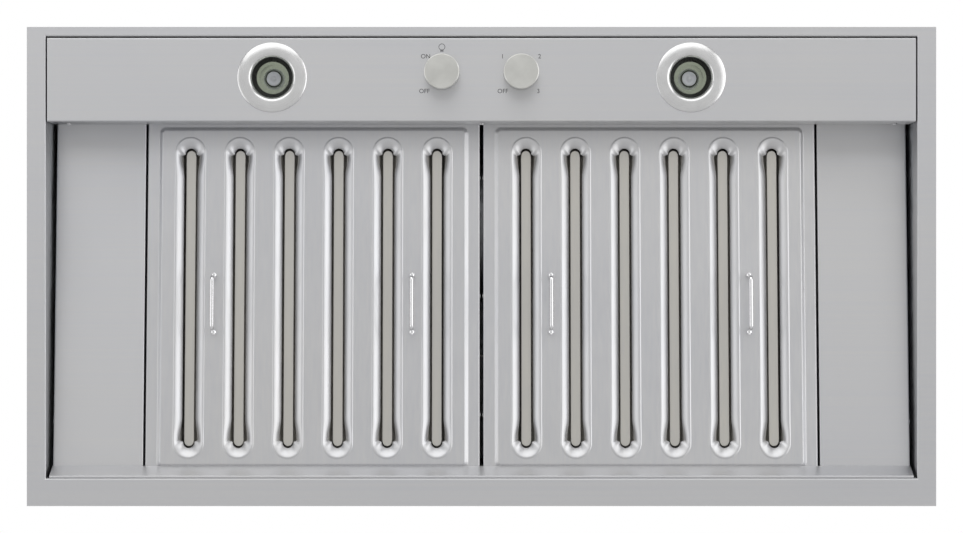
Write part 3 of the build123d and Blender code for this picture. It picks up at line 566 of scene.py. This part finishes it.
def slot_rings(settings):
    """Outer and inner outlines of a slot, point for point, anticlockwise from the right side."""
    rim_x, rim_y = settings.rim_half_width, settings.rim_half_length
    throat_x, throat_y = settings.throat_half_width, settings.throat_half_length
    wide = throat_x + settings.flare
    arch, corner, notch = 0.0068, 0.0016, 0.0024
    shoulder = throat_y - arch - corner
    outer, inner = [], []
    for part in (0.0, 0.3, 0.55, 0.7, 0.78):
        inner.append((throat_x, part * throat_y))
    flare_start, flare_end = 0.80 * throat_y, shoulder - notch
    for part in (0.0, 0.15, 0.35, 0.6, 0.8, 0.92, 1.0):
        ease = part * part * (3 - 2 * part)
        inner.append((throat_x + (wide - throat_x) * ease, flare_start + (flare_end - flare_start) * part))
    side_count = len(inner)
    for step in range(1, 4):
        turn = radians(90 * step / 4)
        inner.append((wide - corner * (1 - cos(turn)), flare_end + corner * sin(turn)))
    inner.append((arch + 0.0022, shoulder - 0.0003))
    inner.append((arch + 0.0007, shoulder + 0.0002))
    for step in range(11):
        turn = radians(90 * step / 10)
        inner.append((arch * cos(turn), throat_y - arch + arch * sin(turn)))
    centre_y = rim_y - rim_x
    end_count = len(inner) - side_count
    for place, (x, y) in enumerate(inner):
        if place < side_count:
            outer.append((rim_x, min(y, centre_y)))
        else:
            turn = radians(90 * (place - side_count + 1) / end_count)
            outer.append((rim_x * cos(turn), centre_y + rim_x * sin(turn)))
    return mirrored_quarter(outer), mirrored_quarter(inner)


def mirrored_quarter(quarter):
    """A closed outline from its first quarter, which runs from the x axis to the y axis."""
    second = [(-x, y) for x, y in reversed(quarter[:-1])]
    half = quarter + second
    lower = [(x, -y) for x, y in reversed(half[1:-1])]
    return half + lower


def start_loop(shape, points, heights):
    """A closed edge loop through the given points, made from a circle of as many."""
    made = bmesh.ops.create_circle(shape, cap_ends=False, radius=1.0, segments=len(points))
    return set_down(made["verts"], points, heights)


def set_down(loop, points, heights):
    """Move a loop's vertices to the given points, at one height or at a height for each."""
    if not isinstance(heights, list):
        heights = [heights] * len(points)
    for vertex, (x, y), z in zip(loop, points, heights):
        vertex.co = (x, y, z)
    return loop


def loop_edges(loop):
    """The edges of a closed loop of vertices, in order."""
    edges = []
    for place, vertex in enumerate(loop):
        after = loop[(place + 1) % len(loop)]
        edges.append(next(e for e in vertex.link_edges if e.other_vert(vertex) is after))
    return edges


def next_loop(shape, loop, points, heights):
    """Extrude a loop and set the new one down on the given points."""
    made = bmesh.ops.extrude_edge_only(shape, edges=loop_edges(loop))
    fresh = {v for v in made["geom"] if isinstance(v, bmesh.types.BMVert)}
    moved = []
    for vertex in loop:
        moved.append(next(e.other_vert(vertex) for e in vertex.link_edges if e.other_vert(vertex) in fresh))
    return set_down(moved, points, heights)


def drawn_loops(shape, rings):
    """Draw a skin through rings of points and their heights; gives back its first loop."""
    first = loop = None
    for points, heights in rings:
        if loop is None:
            first = loop = start_loop(shape, points, heights)
        else:
            loop = next_loop(shape, loop, points, heights)
    return first


# A rim's section: how far across it, and how high above the plateau's face, into the hood.
RIM_SECTION = (
    (0.0, 0.0),
    (0.03, -0.00006),
    (0.07, -0.00024),
    (0.11, -0.00046),
    (0.15, -0.00058),
    (0.19, -0.00056),
    (0.24, -0.00042),
    (0.30, -0.00014),
    (0.38, 0.00030),
    (0.47, 0.00090),
    (0.56, 0.00160),
    (0.65, 0.00240),
    (0.74, 0.00330),
    (0.83, 0.00432),
    (0.92, 0.00546),
    (1.0, 0.00660),
)

# A rib's section: half its width, half its length, and height into the hood.
RIB_SECTION = (
    (0.0052, 0.1896, 0.00672),
    (0.0058, 0.1902, 0.00676),
    (0.0063, 0.1907, 0.00700),
    (0.0098, 0.1940, 0.01170),
    (0.0108, 0.1950, 0.01190),
)

# The step from border to plateau: inset from the step's upper edge, and height as a share of the rise.
STEP_SECTION = (
    (0.0062, 1.0),
    (0.0050, 1.0),
    (0.0043, 0.975),
    (0.0036, 0.89),
    (0.0002, 0.14),
    (-0.0005, 0.03),
    (-0.0012, 0.0),
    (-0.0022, 0.0),
)


def slot_places(settings, low, high):
    """The middles of a filter's slots, in its own frame."""
    middle = (low.y + high.y) / 2 + settings.slot_shift
    for turn in range(settings.slot_count):
        yield (turn - (settings.slot_count - 1) / 2) * settings.slot_pitch, middle


def filter_ribs(settings, low, high):
    """The pressed ribs behind the slots."""
    shape = bmesh.new()
    for x, y in slot_places(settings, low, high):
        rings = []
        for half_x, half_y, height in RIB_SECTION:
            rings.append(([(x + a, y + b) for a, b in rounded_ring(half_x, half_y, half_x)], height))
        crown = drawn_loops(shape, rings)
        bmesh.ops.contextual_create(shape, geom=loop_edges(crown))
    bmesh.ops.recalc_face_normals(shape, faces=shape.faces)
    return facing_down(shape)


def filter_face(settings, low, high):
    """The pressed face of a filter, about its own frame."""
    shape = bmesh.new()
    full_x = (high.x - low.x) / 2
    half_x = full_x - settings.border
    front = low.y + settings.front_border
    rear = high.y - settings.rear_border
    middle, half_y = (front + rear) / 2, (rear - front) / 2
    rise = settings.plateau_rise
    plateau_corner, brim_corner, brim_bend, margin = 0.008, 0.0036, 0.002, 0.0006
    rings = []
    for inset, share in STEP_SECTION:
        ring = rounded_ring(half_x - inset, half_y - inset, plateau_corner - max(inset, 0.0))
        rings.append(([(x, y + middle) for x, y in ring], -rise * share))
    middle, half_y = (low.y + high.y) / 2, (high.y - low.y) / 2
    brim = [(brim_bend + margin, 0.0)]
    for step in range(5):
        turn = radians(90 * step / 4)
        brim.append((brim_bend * (1 - sin(turn)), brim_bend * (1 - cos(turn))))
    brim += [(0.0, high.z - 0.0004), (0.0, high.z)]
    for inset, height in brim:
        ring = rounded_ring(full_x - inset, half_y - inset, brim_corner)
        rings.append(([(x, y + middle) for x, y in ring], height))
    edges = loop_edges(drawn_loops(shape, rings))
    outer, inner = slot_rings(settings)
    support = 1.0 + margin / settings.rim_half_width
    for centre, middle in slot_places(settings, low, high):
        rim = [(centre + x * support, middle + y + (margin if y > 0 else -margin)) for x, y in outer]
        ring = start_loop(shape, rim, -rise)
        edges += loop_edges(ring)
        for share, height in RIM_SECTION:
            points = [
                (centre + a[0] + (b[0] - a[0]) * share, middle + a[1] + (b[1] - a[1]) * share)
                for a, b in zip(outer, inner)
            ]
            ring = next_loop(shape, ring, points, height - rise)
    filled = bmesh.ops.triangle_fill(shape, use_beauty=True, use_dissolve=False, edges=edges)
    for face in filled["geom"]:
        if isinstance(face, bmesh.types.BMFace):
            face.tag = True
    bmesh.ops.recalc_face_normals(shape, faces=shape.faces)
    flat = next(face for face in shape.faces if face.tag)
    if flat.normal.z > 0:
        bmesh.ops.reverse_faces(shape, faces=shape.faces)
    return shape


def grip_tube(settings):
    """The thick part of a handle about its hinge: down a leg, along the grip and up the other leg."""
    radius, bend = settings.grip_radius, settings.grip_bend
    half, drop, top = settings.grip_span / 2, settings.grip_drop, settings.grip_start
    wire = radius / 2
    path = [(half, -top, 0, wire), (half, -top, 0, 0.9 * radius), (half, -top - 0.001, 0, radius)]
    for step in range(9):
        turn = 90 * step / 8
        reach = half - bend + bend * cos(radians(turn))
        path.append((reach, -drop + bend - bend * sin(radians(turn)), turn, radius))
    path += [(-y, z, 180 - turn, size) for y, z, turn, size in reversed(path)]
    rings = []
    for y, z, turn, size in path:
        points, heights = [], []
        for step in range(24):
            angle = radians(15 * step)
            out = size * sin(angle)
            points.append((size * cos(angle), y + out * cos(radians(turn))))
            heights.append(z - out * sin(radians(turn)))
        rings.append((points, heights))
    shape = bmesh.new()
    drawn_loops(shape, rings)
    bmesh.ops.holes_fill(shape, edges=shape.edges, sides=0)
    bmesh.ops.recalc_face_normals(shape, faces=shape.faces)
    return shape


# ---- Operators ----
FLOOR_RADIUS = 40.0

# The softboxes: name, place, width, height and the setting that holds the power of each.
SOFTBOXES = (
    ("front_lamp", (-0.5, -2.9, -1.95), 4.8, 3.6, "front_power"),
    ("right_lamp", (3.0, -0.4, -1.5), 3.6, 3.2, "right_power"),
    ("left_lamp", (-3.3, 0.2, -1.2), 3.0, 2.6, "left_power"),
    ("top_lamp", (-1.5, -2.2, 3.4), 4.2, 4.2, "top_power"),
    ("back_lamp", (1.5, 3.2, 2.6), 4.0, 3.2, "top_power"),
)


class HOOD_OT_stage(bpy.types.Operator):
    """Set out the floor, the light and the camera"""

    bl_idname = "hood.stage"
    bl_label = "Stage"

    def execute(self, context):
        settings = context.scene.hood_stage
        scene = context.scene
        shape = bmesh.new()
        bmesh.ops.create_circle(shape, cap_ends=True, radius=FLOOR_RADIUS, segments=96)
        bmesh.ops.translate(shape, vec=(0.0, 0.0, -settings.floor_drop), verts=shape.verts)
        mesh = bpy.data.meshes.new("floor")
        shape.to_mesh(mesh)
        shape.free()
        finish, tree, shader = new_finish("floor_paint", specular=0.2)
        clouds = noise(tree, pattern(tree), 0.8, detail=3.0)
        shade(tree, shader, spread(tree, clouds, 0.0, 1.0), settings.floor_colour, 0.99, 1.0)
        shader.inputs["Roughness"].default_value = 0.9
        pale = add_node(tree, "Emission")
        pale.inputs["Color"].default_value = (1.0, 1.0, 1.0, 1.0)
        pale.inputs["Strength"].default_value = settings.floor_light
        share = spread(tree, seen_rays(tree), 0.0, settings.floor_share, start=0.0, end=1.0)
        blend_shaders(tree, share, shader.outputs["BSDF"], pale.outputs["Emission"], "Material Output")
        mesh.materials.append(finish)
        floor = bpy.data.objects.new("floor", mesh)
        scene.collection.objects.link(floor)

        for name, place, width, height, power in SOFTBOXES:
            add_softbox(name, place, width, height, getattr(settings, power))

        lens = bpy.data.cameras.new("camera")
        lens.sensor_width = 36.0
        lens.lens = lens.sensor_width * settings.camera_drop / settings.view_width
        lens.clip_end = 100.0
        camera = bpy.data.objects.new("camera", lens)
        camera.location = (0.0, 0.0, -settings.camera_drop)
        camera.rotation_euler = (pi, 0.0, 0.0)
        scene.collection.objects.link(camera)
        scene.camera = camera
        scene.view_settings.view_transform = "Standard"
        add_world(scene, settings.sky_level)
        return {"FINISHED"}


def add_softbox(name, place, width, height, power):
    """A large soft lamp that points at the middle of the flange."""
    lamp = bpy.data.lights.new(name, "AREA")
    lamp.shape = "RECTANGLE"
    lamp.size = width
    lamp.size_y = height
    lamp.energy = power
    made = bpy.data.objects.new(name, lamp)
    made.location = place
    made.rotation_euler = (-Vector(place)).to_track_quat("-Z", "Y").to_euler()
    made.visible_camera = False
    bpy.context.scene.collection.objects.link(made)


def add_world(scene, level):
    """Even light from all round, white where it is seen, mirrored or looked through."""
    world = bpy.data.worlds.new("studio")
    world.use_nodes = True
    tree = world.node_tree
    backgrounds = (tree.nodes["Background"], add_node(tree, "Background"))
    for background, strength in zip(backgrounds, (level, 1.0)):
        background.inputs["Color"].default_value = (1.0, 1.0, 1.0, 1.0)
        background.inputs["Strength"].default_value = strength
    lit, seen = (background.outputs["Background"] for background in backgrounds)
    blend_shaders(tree, seen_rays(tree), lit, seen, "World Output")
    scene.world = world


def seen_rays(tree):
    """1 where the camera, a mirror or glass looks, 0 where light is gathered."""
    ray = add_node(tree, "LightPath")
    shiny = combine(tree, ray.outputs["Is Glossy Ray"], ray.outputs["Is Transmission Ray"], "MAXIMUM")
    return combine(tree, ray.outputs["Is Camera Ray"], shiny, "MAXIMUM")


def blend_shaders(tree, share, first, second, output):
    """Send a blend of two shaders to the output node."""
    blend = add_node(tree, "MixShader")
    tree.links.new(share, blend.inputs["Fac"])
    tree.links.new(first, blend.inputs[1])
    tree.links.new(second, blend.inputs[2])
    tree.links.new(blend.outputs["Shader"], tree.nodes[output].inputs["Surface"])


class HOOD_OT_shell(bpy.types.Operator):
    """Finish the flange, the control panel, the ledge, the fillers and the galvanised shell"""

    bl_idname = "hood.shell"
    bl_label = "Shell"

    def execute(self, context):
        look = context.scene.hood_finish
        sheet = brushed_steel("stainless_long_grain", look.steel_colour, look.steel_roughness, "x", 0.75)
        dress(("flange_frame", "control_panel", "rear_ledge", "panel_screws"), sheet)
        dress(("left_filler", "right_filler"), sheet)
        zinc = galvanised("galvanised_sheet", look.zinc_colour, look.zinc_roughness)
        dress(("front_wall", "rear_wall", "left_wall", "right_wall"), zinc)
        dress(("top_panel", "wiring_panel", "top_skirt", "panel_straps"), zinc)
        dress(("top_screws",), polished("zinc_plate", (0.62, 0.62, 0.60), 0.24))
        return {"FINISHED"}


class HOOD_OT_filters(bpy.types.Operator):
    """Press the slotted faces of the two baffle filters"""

    bl_idname = "hood.filters"
    bl_label = "Filters"

    def execute(self, context):
        settings = context.scene.hood_filters
        look = context.scene.hood_finish
        rough = look.steel_roughness
        face_steel = brushed_steel("stainless_cross_grain", look.steel_colour, rough - 0.04, "y", 0.0)
        # The ribs and rear pans take the darker, warmer steel as painted shade behind the slots.
        rib_steel = brushed_steel("stainless_oiled", look.inner_shaded_colour, rough, "y", 0.0)
        for side_name in SIDES:
            matrix = filter_matrix(side_name)
            low, high = own_box(f"{side_name}_filter_face", matrix)
            body = f"{side_name}_filter"
            face = filter_face(settings, low, high)
            replaced = (f"{body}_face",)
            piece = add_piece(f"{body}_face_pressed", face, face_steel, body, replaced, matrix=matrix)
            wall = piece.modifiers.new("sheet", "SOLIDIFY")
            wall.thickness = settings.sheet
            wall.offset = -1.0
            ribs = filter_ribs(settings, low, high)
            add_piece(f"{body}_ribs", ribs, rib_steel, body, matrix=matrix)
            dress((f"{side_name}_filter_rear_pan",), rib_steel)
            dress((f"{side_name}_filter_rivets",), face_steel)
        return {"FINISHED"}


class HOOD_OT_handles(bpy.types.Operator):
    """Finish the wire handles and their lugs, and add the handles' grips"""

    bl_idname = "hood.handles"
    bl_label = "Handles"

    def execute(self, context):
        look = context.scene.hood_finish
        wire = polished("chrome_wire", look.chrome_colour, 0.10)
        for side_name in SIDES:
            turn = filter_matrix(side_name).to_3x3().to_4x4()
            dress((f"{side_name}_filter_lugs",), wire)
            for place in ("outer", "inner"):
                dress((f"{side_name}_filter_{place}_bail",), wire)
                hinge = Vector(joints[f"{side_name}_{place}_bail_swing"]["pos_m"])
                matrix = Matrix.Translation(hinge) @ turn
                grip = grip_tube(context.scene.hood_filters)
                add_piece(f"{side_name}_{place}_grip", grip, wire, f"{side_name}_{place}_bail", matrix=matrix)
        return {"FINISHED"}


# Sections of the lamp pieces: radius and height, in metres, from the flange's upper face.
TRIM_SECTION = (
    (0.0258, 0.0020), (0.0260, 0.0006), (0.0265, -0.0008), (0.0272, -0.0022), (0.0281, -0.0032),
    (0.0292, -0.0039), (0.0305, -0.0043), (0.0320, -0.0044), (0.0340, -0.0043), (0.0360, -0.0041),
    (0.0380, -0.00375), (0.0400, -0.0033), (0.0420, -0.00275), (0.0436, -0.0022), (0.0443, -0.0017),
    (0.0443, -0.0012), (0.0400, -0.0012), (0.0300, -0.0012), (0.0275, 0.0030), (0.0258, 0.0030),
)
BAFFLE_SECTION = (
    (0.0258, 0.0012), (0.0250, 0.0024), (0.0240, 0.0042), (0.0228, 0.0064), (0.0216, 0.0086),
    (0.0208, 0.0106),
)
BAFFLE_STEPS = 144
REFLECTOR_SECTION = (
    (0.0104, 0.0290), (0.0106, 0.0262), (0.0122, 0.0242), (0.0148, 0.0216), (0.0176, 0.0188),
    (0.0204, 0.0156), (0.0226, 0.0128), (0.0240, 0.0112), (0.0250, 0.0112), (0.0250, 0.0146),
    (0.0192, 0.0242), (0.0092, 0.0400), (0.0080, 0.0548), (0.0, 0.0548),
)
CAPSULE_SECTION = (
    (0.0, 0.0226), (0.0012, 0.0227), (0.0022, 0.0233), (0.0030, 0.0246), (0.0044, 0.0250),
    (0.0060, 0.0246), (0.0076, 0.0240), (0.0088, 0.0243), (0.0093, 0.0252), (0.0093, 0.0290),
)


class HOOD_OT_lamps(bpy.types.Operator):
    """Make the lamps, their trims and ribbed baffles, and finish their cans and holders"""

    bl_idname = "hood.lamps"
    bl_label = "Lamps"

    def execute(self, context):
        look = context.scene.hood_finish
        ceramic = moulded("lamp_ceramic", (0.82, 0.79, 0.72), 0.6)
        zinc = bpy.data.materials["galvanised_sheet"]
        black = moulded("baffle_black", (0.018, 0.018, 0.018), 0.32)
        mirror = polished("lamp_reflector", (0.60, 0.63, 0.56), 0.14)
        frosted = moulded("capsule_glass", (0.72, 0.74, 0.78), 0.16, specular=0.6)
        for side_name in SIDES:
            low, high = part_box(f"{side_name}_lamp_trim")
            centre = ((low[0] + high[0]) / 2, (low[1] + high[1]) / 2, 0.0)
            satin = turned_metal(f"{side_name}_trim_satin", look.trim_colour, 0.24, centre, stretch=0.3)
            ring = spun(TRIM_SECTION + TRIM_SECTION[:1], 96, centre)
            add_piece(f"{side_name}_trim_ring", ring, satin, "hood", (f"{side_name}_lamp_trim",))
            baffle = facing_down(spun(BAFFLE_SECTION, BAFFLE_STEPS, centre))
            flute(baffle, centre, BAFFLE_STEPS, 0.965)
            add_piece(f"{side_name}_lamp_baffle", baffle, black, "hood", smooth=False)
            bowl = facing_down(spun(REFLECTOR_SECTION, 30, centre, flat=True))
            add_piece(f"{side_name}_lamp_bowl", bowl, mirror, "hood", (f"{side_name}_lamp",), smooth=False)
            capsule = facing_down(spun(CAPSULE_SECTION, 48, centre))
            add_piece(f"{side_name}_lamp_capsule", capsule, frosted, "hood")
            dress((f"{side_name}_lamp_holder",), ceramic)
            dress((f"{side_name}_lamp_can",), zinc)
        return {"FINISHED"}


def flute(shape, centre, steps, share):
    """Draw every second line of a spun shape in towards its axis."""
    for vertex in shape.verts:
        away = Vector((vertex.co.x - centre[0], vertex.co.y - centre[1]))
        step = round(away.angle_signed(Vector((1.0, 0.0)), 0.0) / (2 * pi / steps))
        if step % 2:
            vertex.co.x = centre[0] + away.x * share
            vertex.co.y = centre[1] + away.y * share


MARK_SIZE = 0.0078
BULB_ALONG = -0.0322

# Printed marks by control: the text and how far its middle lies from the knob's axis.
MARKS = {
    "light": (("ON", -0.0206, -0.0200), ("OFF", -0.0222, 0.0240)),
    "fan": (("OFF", -0.0232, 0.0240), ("1", -0.0236, -0.0200), ("2", 0.0234, -0.0200), ("3", 0.0218, 0.0240)),
}


def printed(shape, text, size, place):
    """Add a flat text that is read from below to a shape."""
    curve = bpy.data.curves.new("mark", "FONT")
    curve.body = text
    curve.size = size
    curve.align_x = "CENTER"
    curve.align_y = "CENTER"
    curve.extrude = 0.00002
    holder = bpy.data.objects.new("mark", curve)
    mesh = bpy.data.meshes.new_from_object(holder)
    mesh.transform(Matrix.Translation(place) @ Matrix.Rotation(pi, 4, "X"))
    shape.from_mesh(mesh)
    bpy.data.objects.remove(holder)
    bpy.data.curves.remove(curve)
    bpy.data.meshes.remove(mesh)


def bulb_mark(shape, radius, width, place):
    """Add a small outline of a lamp bulb to a shape."""
    rim = bmesh.ops.create_circle(shape, cap_ends=False, radius=radius, segments=32)["verts"]
    edges = list({edge for vertex in rim for edge in vertex.link_edges})
    ring = bmesh.ops.extrude_edge_only(shape, edges=edges)["geom"]
    fresh = [item for item in ring if isinstance(item, bmesh.types.BMVert)]
    bmesh.ops.scale(shape, vec=(1 - width / radius, 1 - width / radius, 1.0), verts=fresh)
    cap = bmesh.ops.create_grid(shape, x_segments=1, y_segments=1, size=0.5)["verts"]
    bmesh.ops.scale(shape, vec=(radius, width * 2, 1.0), verts=cap)
    bmesh.ops.translate(shape, vec=(0, radius + width * 1.4, 0), verts=cap)
    bmesh.ops.translate(shape, vec=place, verts=rim + fresh + cap)


class HOOD_OT_controls(bpy.types.Operator):
    """Finish the two rotary controls and print their marks"""

    bl_idname = "hood.controls"
    bl_label = "Controls"

    def execute(self, context):
        look = context.scene.hood_finish
        black = moulded("switch_plastic", (0.05, 0.05, 0.05), 0.42)
        ink = moulded("printed_ink", (0.055, 0.055, 0.06), 0.6)
        plate = polished("control_plate", (0.62, 0.62, 0.60), 0.24)
        ink_thickness = 0.00004
        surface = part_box("control_panel")[0][2] - ink_thickness
        for name in ("light", "fan"):
            low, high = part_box(f"{name}_knob")
            centre = ((low[0] + high[0]) / 2, (low[1] + high[1]) / 2, 0.0)
            dress((f"{name}_knob",), turned_metal(f"{name}_knob_metal", look.knob_colour, 0.34, centre))
            dress((f"{name}_switch",), black)
            dress((f"{name}_switch_nut", f"{name}_switch_shaft"), plate)
            marks = bmesh.new()
            for text, across, along in MARKS[name]:
                printed(marks, text, MARK_SIZE, (centre[0] + across, centre[1] + along, surface))
            if name == "light":
                bulb_mark(marks, 0.0042, 0.0007, (centre[0], centre[1] + BULB_ALONG, surface))
            bmesh.ops.recalc_face_normals(marks, faces=marks.faces)
            add_piece(f"{name}_marks", marks, ink, "hood", smooth=False)
        return {"FINISHED"}


class HOOD_OT_blower(bpy.types.Operator):
    """Finish the blower, its motor and the run capacitor"""

    bl_idname = "hood.blower"
    bl_label = "Blower"

    def execute(self, context):
        zinc = bpy.data.materials["galvanised_sheet"]
        plate = bpy.data.materials["zinc_plate"]
        dress(("blower_scroll", "blower_left_plate", "blower_right_plate", "motor_bracket", "impeller"), zinc)
        dress(("blower_axle", "capacitor_clamp"), plate)
        dress(("motor",), moulded("motor_enamel", (0.06, 0.06, 0.065), 0.38))
        dress(("capacitor",), moulded("capacitor_case", (0.78, 0.78, 0.76), 0.35))
        return {"FINISHED"}


class HOOD_OT_duct(bpy.types.Operator):
    """Finish the duct collar and its damper"""

    bl_idname = "hood.duct"
    bl_label = "Duct"

    def execute(self, context):
        zinc = bpy.data.materials["galvanised_sheet"]
        plate = bpy.data.materials["zinc_plate"]
        dress(("duct_collar",), zinc)
        dress(("damper_rod",), plate)
        flap = brushed_steel("mill_aluminium", (0.74, 0.75, 0.76), 0.36, "x", 0.3)
        dress(("front_damper_flap", "rear_damper_flap"), flap)
        return {"FINISHED"}


class HOOD_OT_wiring(bpy.types.Operator):
    """Finish the junction box and the cable gland"""

    bl_idname = "hood.wiring"
    bl_label = "Wiring"

    def execute(self, context):
        zinc = bpy.data.materials["galvanised_sheet"]
        plate = bpy.data.materials["zinc_plate"]
        dress(("junction_box", "junction_cover"), zinc)
        dress(("junction_cover_screws",), plate)
        dress(("cable_gland",), moulded("gland_nylon", (0.06, 0.06, 0.06), 0.5))
        return {"FINISHED"}


OPERATORS = (
    HOOD_OT_stage,
    HOOD_OT_shell,
    HOOD_OT_filters,
    HOOD_OT_handles,
    HOOD_OT_lamps,
    HOOD_OT_controls,
    HOOD_OT_blower,
    HOOD_OT_duct,
    HOOD_OT_wiring,
)


class HOOD_PT_sidebar(bpy.types.Panel):
    """Lists the sizes, the finishes and the pieces"""

    bl_idname = "HOOD_PT_sidebar"
    bl_label = "Range hood insert"
    bl_space_type = "VIEW_3D"
    bl_region_type = "UI"
    bl_category = "Range hood"

    def draw(self, context):
        column = self.layout.column()
        for settings in (context.scene.hood_stage, context.scene.hood_finish, context.scene.hood_filters):
            for name in settings.__annotations__:
                column.prop(settings, name)
        for operator in OPERATORS:
            column.operator(operator.bl_idname)


CLASSES = (StageSettings, FinishSettings, FilterSettings, *OPERATORS, HOOD_PT_sidebar)


def register():
    """Register the settings, the operators and the panel."""
    for made in CLASSES:
        bpy.utils.register_class(made)
    bpy.types.Scene.hood_stage = PointerProperty(type=StageSettings)
    bpy.types.Scene.hood_finish = PointerProperty(type=FinishSettings)
    bpy.types.Scene.hood_filters = PointerProperty(type=FilterSettings)


def unregister():
    """Take back what register added."""
    del bpy.types.Scene.hood_filters
    del bpy.types.Scene.hood_finish
    del bpy.types.Scene.hood_stage
    for made in reversed(CLASSES):
        bpy.utils.unregister_class(made)


def main():
    """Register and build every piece."""
    register()
    for operator in OPERATORS:
        group, name = operator.bl_idname.split(".")
        getattr(getattr(bpy.ops, group), name)()


if __name__ == "__main__":
    main()
